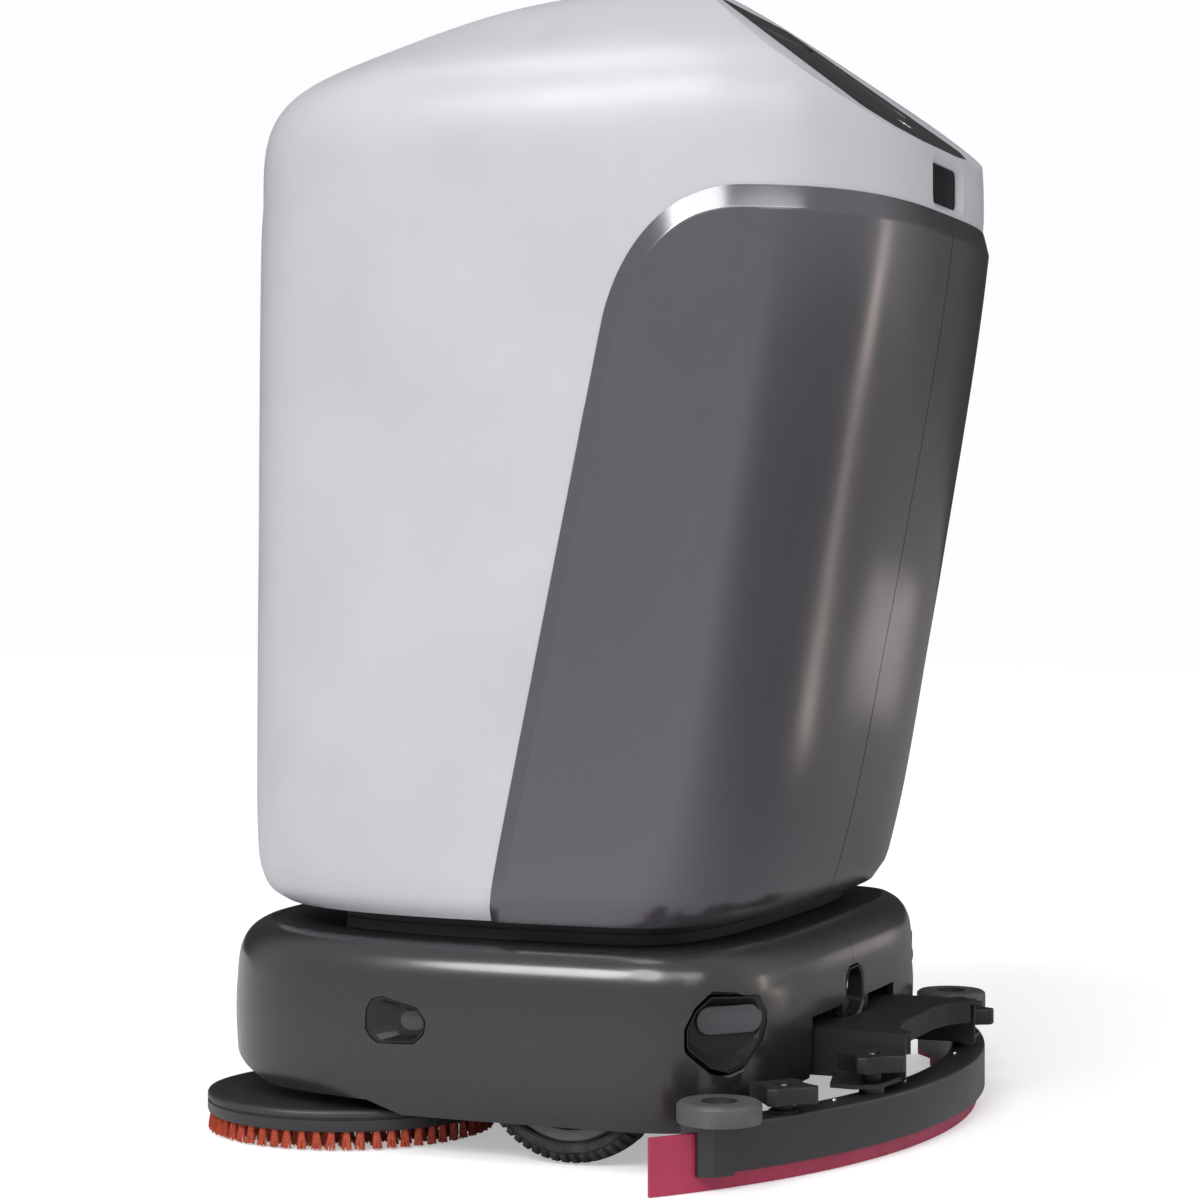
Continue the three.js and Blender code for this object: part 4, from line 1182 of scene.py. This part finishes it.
def make_disc(side):
    plate = lathe(side + "_brush_plate", [
        (0.0, 0.0172), (0.1365, 0.0172), (0.1392, 0.0182), (0.140, 0.0205), (0.140, 0.0285), (0.1385, 0.0293),
        (0.1385, 0.0303), (0.140, 0.0312), (0.140, 0.0352), (0.1388, 0.0372), (0.1362, 0.038), (0.131, 0.038),
        (0.1295, 0.0372), (0.045, 0.0372), (0.036, 0.038), (0.0305, 0.0425), (0.0285, 0.0436), (0.0, 0.0436),
    ], finishes["brush_plate"], 128, 50)
    return plate


def add_filament(points, faces, root, tip, width):
    """A tapering three-sided filament from root to tip."""
    axis = (tip - root).normalized()
    across = axis.cross(Vector((0.3, 0.7, 0.1))).normalized()
    other = axis.cross(across)
    start = len(points)
    for centre, size in ((root, width), (tip, width * 0.8)):
        for k in range(3):
            a = 2 * math.pi * k / 3
            points.append(centre + (across * math.cos(a) + other * math.sin(a)) * size)
    faces += [(start + k, start + (k + 1) % 3, start + 3 + (k + 1) % 3, start + 3 + k) for k in range(3)]
    faces += [(start, start + 2, start + 1), (start + 3, start + 4, start + 5)]


def make_bristles(side):
    points = []
    faces = []
    for radius, tufts in TUFT_RINGS:
        for i in range(tufts):
            angle = 2 * math.pi * (i + random.uniform(-0.08, 0.08)) / tufts
            outward = Vector((math.cos(angle), math.sin(angle), 0))
            along = Vector((-outward.y, outward.x, 0))
            root = outward * radius + Vector((0, 0, TUFT_ROOT))
            lean = random.uniform(-0.0012, 0.0012)
            for k in range(FILAMENTS):
                turn = 2 * math.pi * k / (FILAMENTS - 1)
                out = 0.0 if k == 0 else math.cos(turn)
                round_ = 0.0 if k == 0 else math.sin(turn)
                start = root + (outward * out + along * round_) * TUFT_RADIUS
                reach = 0.0036 if radius < 0.13 else 0.0030
                end = root + outward * (out * reach + 0.0012) + along * (round_ * 0.0042 + lean)
                end = end + (outward * random.uniform(-1, 1) + along * random.uniform(-1, 1)) * 0.0006
                end.z = random.uniform(0.0006, 0.0016)
                add_filament(points, faces, start, end, FILAMENT_WIDTH)
    return new_object(side + "_bristle_tufts", points, faces, finishes["bristle_orange"], 60)


def make_brushes():
    for side, (x, y) in BRUSHES.items():
        for piece, slot, node in (
            (make_disc(side), "brush_plate", side + "_brush_disc"),
            (make_bristles(side), "bristle_orange", side + "_brush_bristles"),
        ):
            moved(piece, x, y)
            place(piece, side + "_brush", slot, node)


# ---------------------------------------------------------------- squeegee
ARC_CENTRE_Y = -0.3125
CHANNEL_HALF_ANGLE = 33.2
BLADE_HALF_ANGLE = 40.1
ROLLER = (0.377, 0.2365)
KNOB_HEIGHT = 0.016
KNOBS = {"outer": (0.285, 0.2645, 0.066, 0.058), "inner": (0.160, 0.3087, 0.078, 0.068)}  # x, y, bottom, seat


def arc_sweep(name, section, half_angle, count, material, smooth_angle=30.0):
    """A closed (radius, height) section carried along the squeegee's curve."""
    rings = []
    for angle in np.linspace(-half_angle, half_angle, count):
        a = math.radians(angle)
        rings.append([(r * math.sin(a), ARC_CENTRE_Y + r * math.cos(a), z) for r, z in section])
    return closed_loft(name, rings, material, smooth_angle)


def make_channel():
    outside = rounded([(0.630, 0.015), (0.630, 0.058), (0.664, 0.058), (0.664, 0.015)],
                      [0.0008, 0.003, 0.003, 0.0008], 4)
    inside = [(0.656, 0.015), (0.656, 0.052), (0.636, 0.052), (0.636, 0.015)]
    body = arc_sweep("squeegee_channel", outside, CHANNEL_HALF_ANGLE, 90, finishes["channel_black"])
    hollow = arc_sweep("hollow", [(r, z if z > 0.02 else 0.0) for r, z in inside], 40, 100,
                       finishes["channel_black"])
    boolean(body, hollow)
    parts = [body]
    for side in (-1, 1):
        for kind, (x, y, _, _) in KNOBS.items():
            radius, top = (0.012, 0.0637) if kind == "inner" else (0.0135, 0.0597)
            boss = lathe("boss", [(0.0, 0.0575), (radius, 0.0575), (radius, top - 0.001),
                                  (radius - 0.001, top), (0.0, top)], finishes["channel_black"], 40)
            hole = prism("hole", circle(0.0095, 32), 0.0582, 0.07, None)
            if kind == "outer":
                boolean(boss, hole)
            else:
                bpy.data.objects.remove(hole)
            moved(boss, side * x, y)
            parts.append(boss)
        # Small bright rivets along the top, between the knobs.
        for angle in (8.0, 19.5, 30.0):
            a = math.radians(angle * side)
            rivet = lathe("rivet", [(0.0, 0.0578), (0.0024, 0.0578), (0.0021, 0.0588), (0.0012, 0.0593),
                                    (0.0, 0.0594)],
                          screw_steel, 20, 60)
            moved(rivet, 0.638 * math.sin(a), ARC_CENTRE_Y + 0.638 * math.cos(a))
            parts.append(rivet)
    channel = joined("squeegee_channel_body", parts)
    place(channel, "squeegee", "channel_black", "squeegee_body")


def make_blades():
    rear = [(0.652, 0.0517), (0.652, 0.0006), (0.6526, 0.0), (0.6552, 0.0), (0.6557, 0.0006),
            (0.6557, 0.0512), (0.6552, 0.0517)]
    blade = arc_sweep("pink_squeegee_blade", rear, BLADE_HALF_ANGLE, 110, finishes["blade_pink"])
    place(blade, "squeegee", "blade_pink", "squeegee_blade")
    # The front blade; the real one has slots that let water under it, which are not drawn here.
    front = [(0.6363, 0.0517), (0.6363, 0.0005), (0.6393, 0.0005), (0.6393, 0.0517)]
    strip = arc_sweep("pink_front_blade", front, 33.0, 100, finishes["blade_pink"])
    place(strip, "squeegee", "blade_pink", "squeegee_front_blade")


def make_roller(name):
    body = lathe("body", [
        (0.0, 0.061), (0.0355, 0.061), (0.037, 0.0618), (0.0375, 0.0632), (0.0375, 0.0765), (0.0372, 0.0776),
        (0.0350, 0.0795), (0.0340, 0.08), (0.0162, 0.08), (0.0150, 0.0796), (0.0112, 0.0752),
        (0.0100, 0.0749), (0.0, 0.0749),
    ], finishes["roller_grey"], 96, 40)
    body.data.materials.append(finishes["cover_black"])
    for polygon in body.data.polygons:
        if polygon.center.xy.length < 0.0161 and polygon.center.z > 0.07:
            polygon.material_index = 1
    washer = lathe("washer", [(0.0, 0.0742), (0.0112, 0.0742), (0.0108, 0.0753), (0.007, 0.0757),
                              (0.0, 0.0757)],
                   finishes["cover_black"], 48)
    return joined(name, [body, washer] + screw_head(0.0757, 0.0045))


def screw_head(height, radius):
    """A domed screw head with a cross recess."""
    head = lathe("head", [(0.0, height - 0.0008), (radius, height - 0.0008), (radius, height + 0.0006),
                          (radius * 0.75, height + 0.0017), (radius * 0.4, height + 0.0021),
                          (0.0, height + 0.0022)],
                 screw_steel, 36, 50)
    for turn in (0, 90):
        # The cross recess takes the cutter's near-black: painted shade in the recess.
        slot = block("slot", (-radius * 0.55, -0.0005, height + 0.0009),
                     (radius * 0.55, 0.0005, height + 0.004), hole_shade_black)
        slot.data.transform(Matrix.Rotation(math.radians(turn + 20), 4, "Z"))
        boolean(head, slot)
    return [head]


def star_outline():
    """Four blunt points joined by hollow sides."""
    tip, tip_half, hollow = 0.0315, 0.005, 0.013
    outline = []
    for k in range(4):
        turn = Matrix.Rotation(math.pi / 2 * k, 2)
        outline.append(tuple(turn @ Vector((tip, -tip_half))))
        start = Vector((tip, tip_half))
        end = Vector((tip_half, tip))
        middle = Vector((hollow, hollow))
        for t in np.linspace(0, 1, 15)[:-1]:
            point = start * (1 - t) ** 2 + middle * 2 * t * (1 - t) + end * t**2
            outline.append(tuple(turn @ point))
    return outline


def make_knob(name, bottom, seat):
    star = prism("star", star_outline(), bottom, bottom + KNOB_HEIGHT, finishes["knob_black"], 0.0014)
    cup = lathe("cup", [(0.0, bottom + 0.0152), (0.0085, bottom + 0.0158), (0.0095, bottom + 0.03),
                        (0.0, bottom + 0.03)],
                None, 40)
    cup.data.materials.append(finishes["knob_black"])
    cup.data.transform(Matrix.Translation((0, 0, -0.0016)))
    boolean(star, cup)
    stem = lathe("stem", [
        (0.0, seat + CLEAR), (0.0086, seat + CLEAR), (0.009, seat + 0.001), (0.009, bottom - 0.0005),
        (0.012, bottom - 0.0002), (0.012, bottom + 0.0006), (0.0, bottom + 0.0006),
    ], finishes["knob_black"], 40)
    return joined(name, [star, stem] + screw_head(bottom + 0.0140, 0.0036))


def make_rollers_and_knobs():
    for side, sign in (("left", 1), ("right", -1)):
        roller = make_roller(side + "_grey_roller")
        moved(roller, sign * ROLLER[0], ROLLER[1])
        place(roller, side + "_roller", "roller_grey", side + "_roller")
        for kind, (x, y, bottom, seat) in KNOBS.items():
            knob = make_knob(side + "_" + kind + "_knob_star", bottom, seat)
            moved(knob, sign * x, y)
            place(knob, side + "_" + kind + "_knob", "knob_black", side + "_" + kind + "_star_knob")


# ---------------------------------------------------------------- neck, top cover and scanner
SCANNER_Y = -0.255


def make_neck():
    def neck_ring(z, inset, count):
        half_width, front, rear = (value[0] for value in wall_at(BODY_BOTTOM))
        x, y = superellipse(ring_angles(count), half_width - inset, front - inset, rear - inset, BODY_POWERS)
        return [(a, b, z) for a, b in zip(x, y)]

    levels = [(0.1982, 0.024), (0.2078, 0.024), (0.2084, 0.0252), (0.2096, 0.0252), (0.2102, 0.024),
              (0.2178, 0.024)]
    band = closed_loft("neck_ring_band", [neck_ring(z, inset, 200) for z, inset in levels],
                       finishes["cover_black"])
    boolean(band, closed_loft("inner", [neck_ring(z, 0.044, 120) for z in (0.19, 0.23)], None))
    boolean(band, block("front", (-0.5, -0.5, 0.1), (0.5, -0.194, 0.3), None))
    place(band, "base", "cover_black", "neck_band")

    levels = [(0.189, 0.026), (0.1962, 0.0300), (0.1974, 0.0312), (0.1977, 0.0325)]
    cover = closed_loft("base_top_panel", [skirt_ring(z, inset, 240) for z, inset in levels],
                        finishes["cover_black"])
    hole = prism("hole", circle(0.0323, 64), 0.1, 0.3, None)
    moved(hole, 0, SCANNER_Y)
    boolean(cover, hole)
    place(cover, "base", "cover_black", "base_top_cover")

    drum = lathe("scanner_drum", [
        (0.0, 0.165), (0.032, 0.165), (0.032, 0.198), (0.0405, 0.198), (0.042, 0.199), (0.042, 0.2002),
        (0.0408, 0.201), (0.033, 0.201), (0.0318, 0.2022), (0.0318, 0.2138), (0.032, 0.2142),
        (0.032, 0.2158), (0.031, 0.217), (0.0, 0.217),
    ], finishes["display_glass"], 96, 40)
    moved(drum, 0, SCANNER_Y)
    place(drum, "base", "display_glass", "laser_scanner")


# ---------------------------------------------------------------- console and buttons
DISPLAY = {"half_width": 0.092, "start": 0.040, "end": 0.165, "depth": 0.005}
POWER_BUTTON = {"along": 0.196, "radius": 0.011}


def display_outline(margin):
    w = DISPLAY["half_width"] + margin
    low, high = DISPLAY["start"] - margin, DISPLAY["end"] + margin
    return rounded([(-w, low), (w, low), (w, high), (-w, high)], 0.004, 5)


def make_console():
    panel = prism("console_glass", console_outline(0), -CONSOLE_THICKNESS, 0, finishes["display_glass"],
                  0.0012)
    boolean(panel, prism("opening", display_outline(CLEAR), -DISPLAY["depth"], 0.01, None))
    hole = prism("hole", circle(POWER_BUTTON["radius"] + CLEAR, 64), -0.02, 0.01, None)
    moved(hole, 0, POWER_BUTTON["along"])
    boolean(panel, hole)
    transformed(panel, to_console)
    place(panel, "base", "display_glass", "console_panel")

    screen = prism("touch_screen", display_outline(0), CLEAR - DISPLAY["depth"], -0.0004,
                   finishes["display_glass"], 0.0008)
    transformed(screen, to_console)
    place(screen, "base", "display_glass", "console_display")

    r = POWER_BUTTON["radius"]
    cap = lathe("cap", [(0.0, -0.012), (r, -0.012), (r, -0.0012), (r - 0.0008, -0.0003),
                        (r - 0.0026, -0.0002), (r - 0.0032, -0.0010),
                        (0.0, -0.0016)], finishes["button_steel"], 64, 40)
    ring = lathe("ring", [(0.0036, -0.002), (0.0052, -0.002), (0.0052, -0.0009), (0.0036, -0.0009)],
                 finishes["sensor_black"], 48)
    button = joined("power_push_button", [cap, ring])
    moved(button, 0, POWER_BUTTON["along"])
    transformed(button, to_console)
    place(button, "power_button", "button_steel", "power_button")


def make_rear_window():
    back = WINDOW["y"] - WINDOW["depth"]
    pane = flared("rear_window_pane", window_outline(), [
        (back + 0.0003, -CLEAR), (back + 0.0072, -CLEAR), (back + 0.008, -0.0012),
    ], window_black)
    transformed(pane, Matrix.Translation((0, 0, WINDOW["z"])) @ facing_rear)
    place(pane, "base", "display_glass", "rear_window")


def make_emergency_stop():
    head = lathe("head", [
        (0.0, 0.0), (0.0155, 0.0), (0.0176, 0.0006), (0.0195, 0.0022), (0.0208, 0.0046), (0.021, 0.0066),
        (0.021, 0.0112), (0.0202, 0.0120), (0.0108, 0.014), (0.010, 0.0148), (0.010, 0.044), (0.0, 0.044),
    ], finishes["stop_red"], 72, 50)
    button = joined("emergency_stop_head", [head])
    transformed(button, Matrix.Translation((0, ESTOP_FACE_Y, ESTOP_Z)) @ DEPTH_REARWARDS)
    place(button, "emergency_stop", "stop_red", "emergency_stop_button")


# ---------------------------------------------------------------- CAD nodes that keep their shape
# For each finish, its nodes and the width of their rounded edges in millimetres.
CARRIED = {
    "chassis_steel": {"body_floor": 0.6, "chassis_frame": 1.0, "caster_fork": 0.6, "brush_deck": 0.8},
    "motor_grey": {
        "left_gearmotor": 1.2, "right_gearmotor": 1.2, "vacuum_motor": 2.0,
        "left_brush_motor": 1.2, "right_brush_motor": 1.2, "centre_brush_motor": 1.2,
    },
    "battery_case": {"battery_pack": 6.0},
    "control_case": {"control_box": 2.0},
    "fitting_black": {"water_pump": 1.5, "recovery_tank_lid": 1.5, "suction_tube": 1.0},
    "tank_clean": {"clean_water_tank": 12.0},
    "tank_recovery": {"recovery_tank": 12.0},
    "tyre_rubber": {"caster_wheel": 1.0},
    "axle_steel": {"squeegee_pivot_pin": 0.6},
    "knob_black": {"squeegee_carrier": 1.0},
    "channel_black": {"left_end_block": 0.9, "right_end_block": 0.9},
}


def carry_nodes():
    edges = [(name, slot, width) for slot, widths in CARRIED.items() for name, width in widths.items()]
    for name, slot, width in edges:
        piece = nodes[name]
        piece.data.materials.clear()
        piece.data.materials.append(finishes[slot])
        weld = piece.modifiers.new("weld", "WELD")
        weld.merge_threshold = 0.00001
        bevel = piece.modifiers.new("round", "BEVEL")
        bevel.width = width * MM
        bevel.segments = 3
        bevel.limit_method = "ANGLE"
        bevel.angle_limit = math.radians(38)
        bevel.use_clamp_overlap = True
        piece.data.shade_smooth()
        smooth = piece.modifiers.new("normals", "WEIGHTED_NORMAL")
        smooth.keep_sharp = True


make_body_shell()
make_doors()
make_skirts()
make_sensors()
make_wheels()
make_brushes()
make_channel()
make_blades()
make_rollers_and_knobs()
make_neck()
make_console()
make_rear_window()
make_emergency_stop()
carry_nodes()
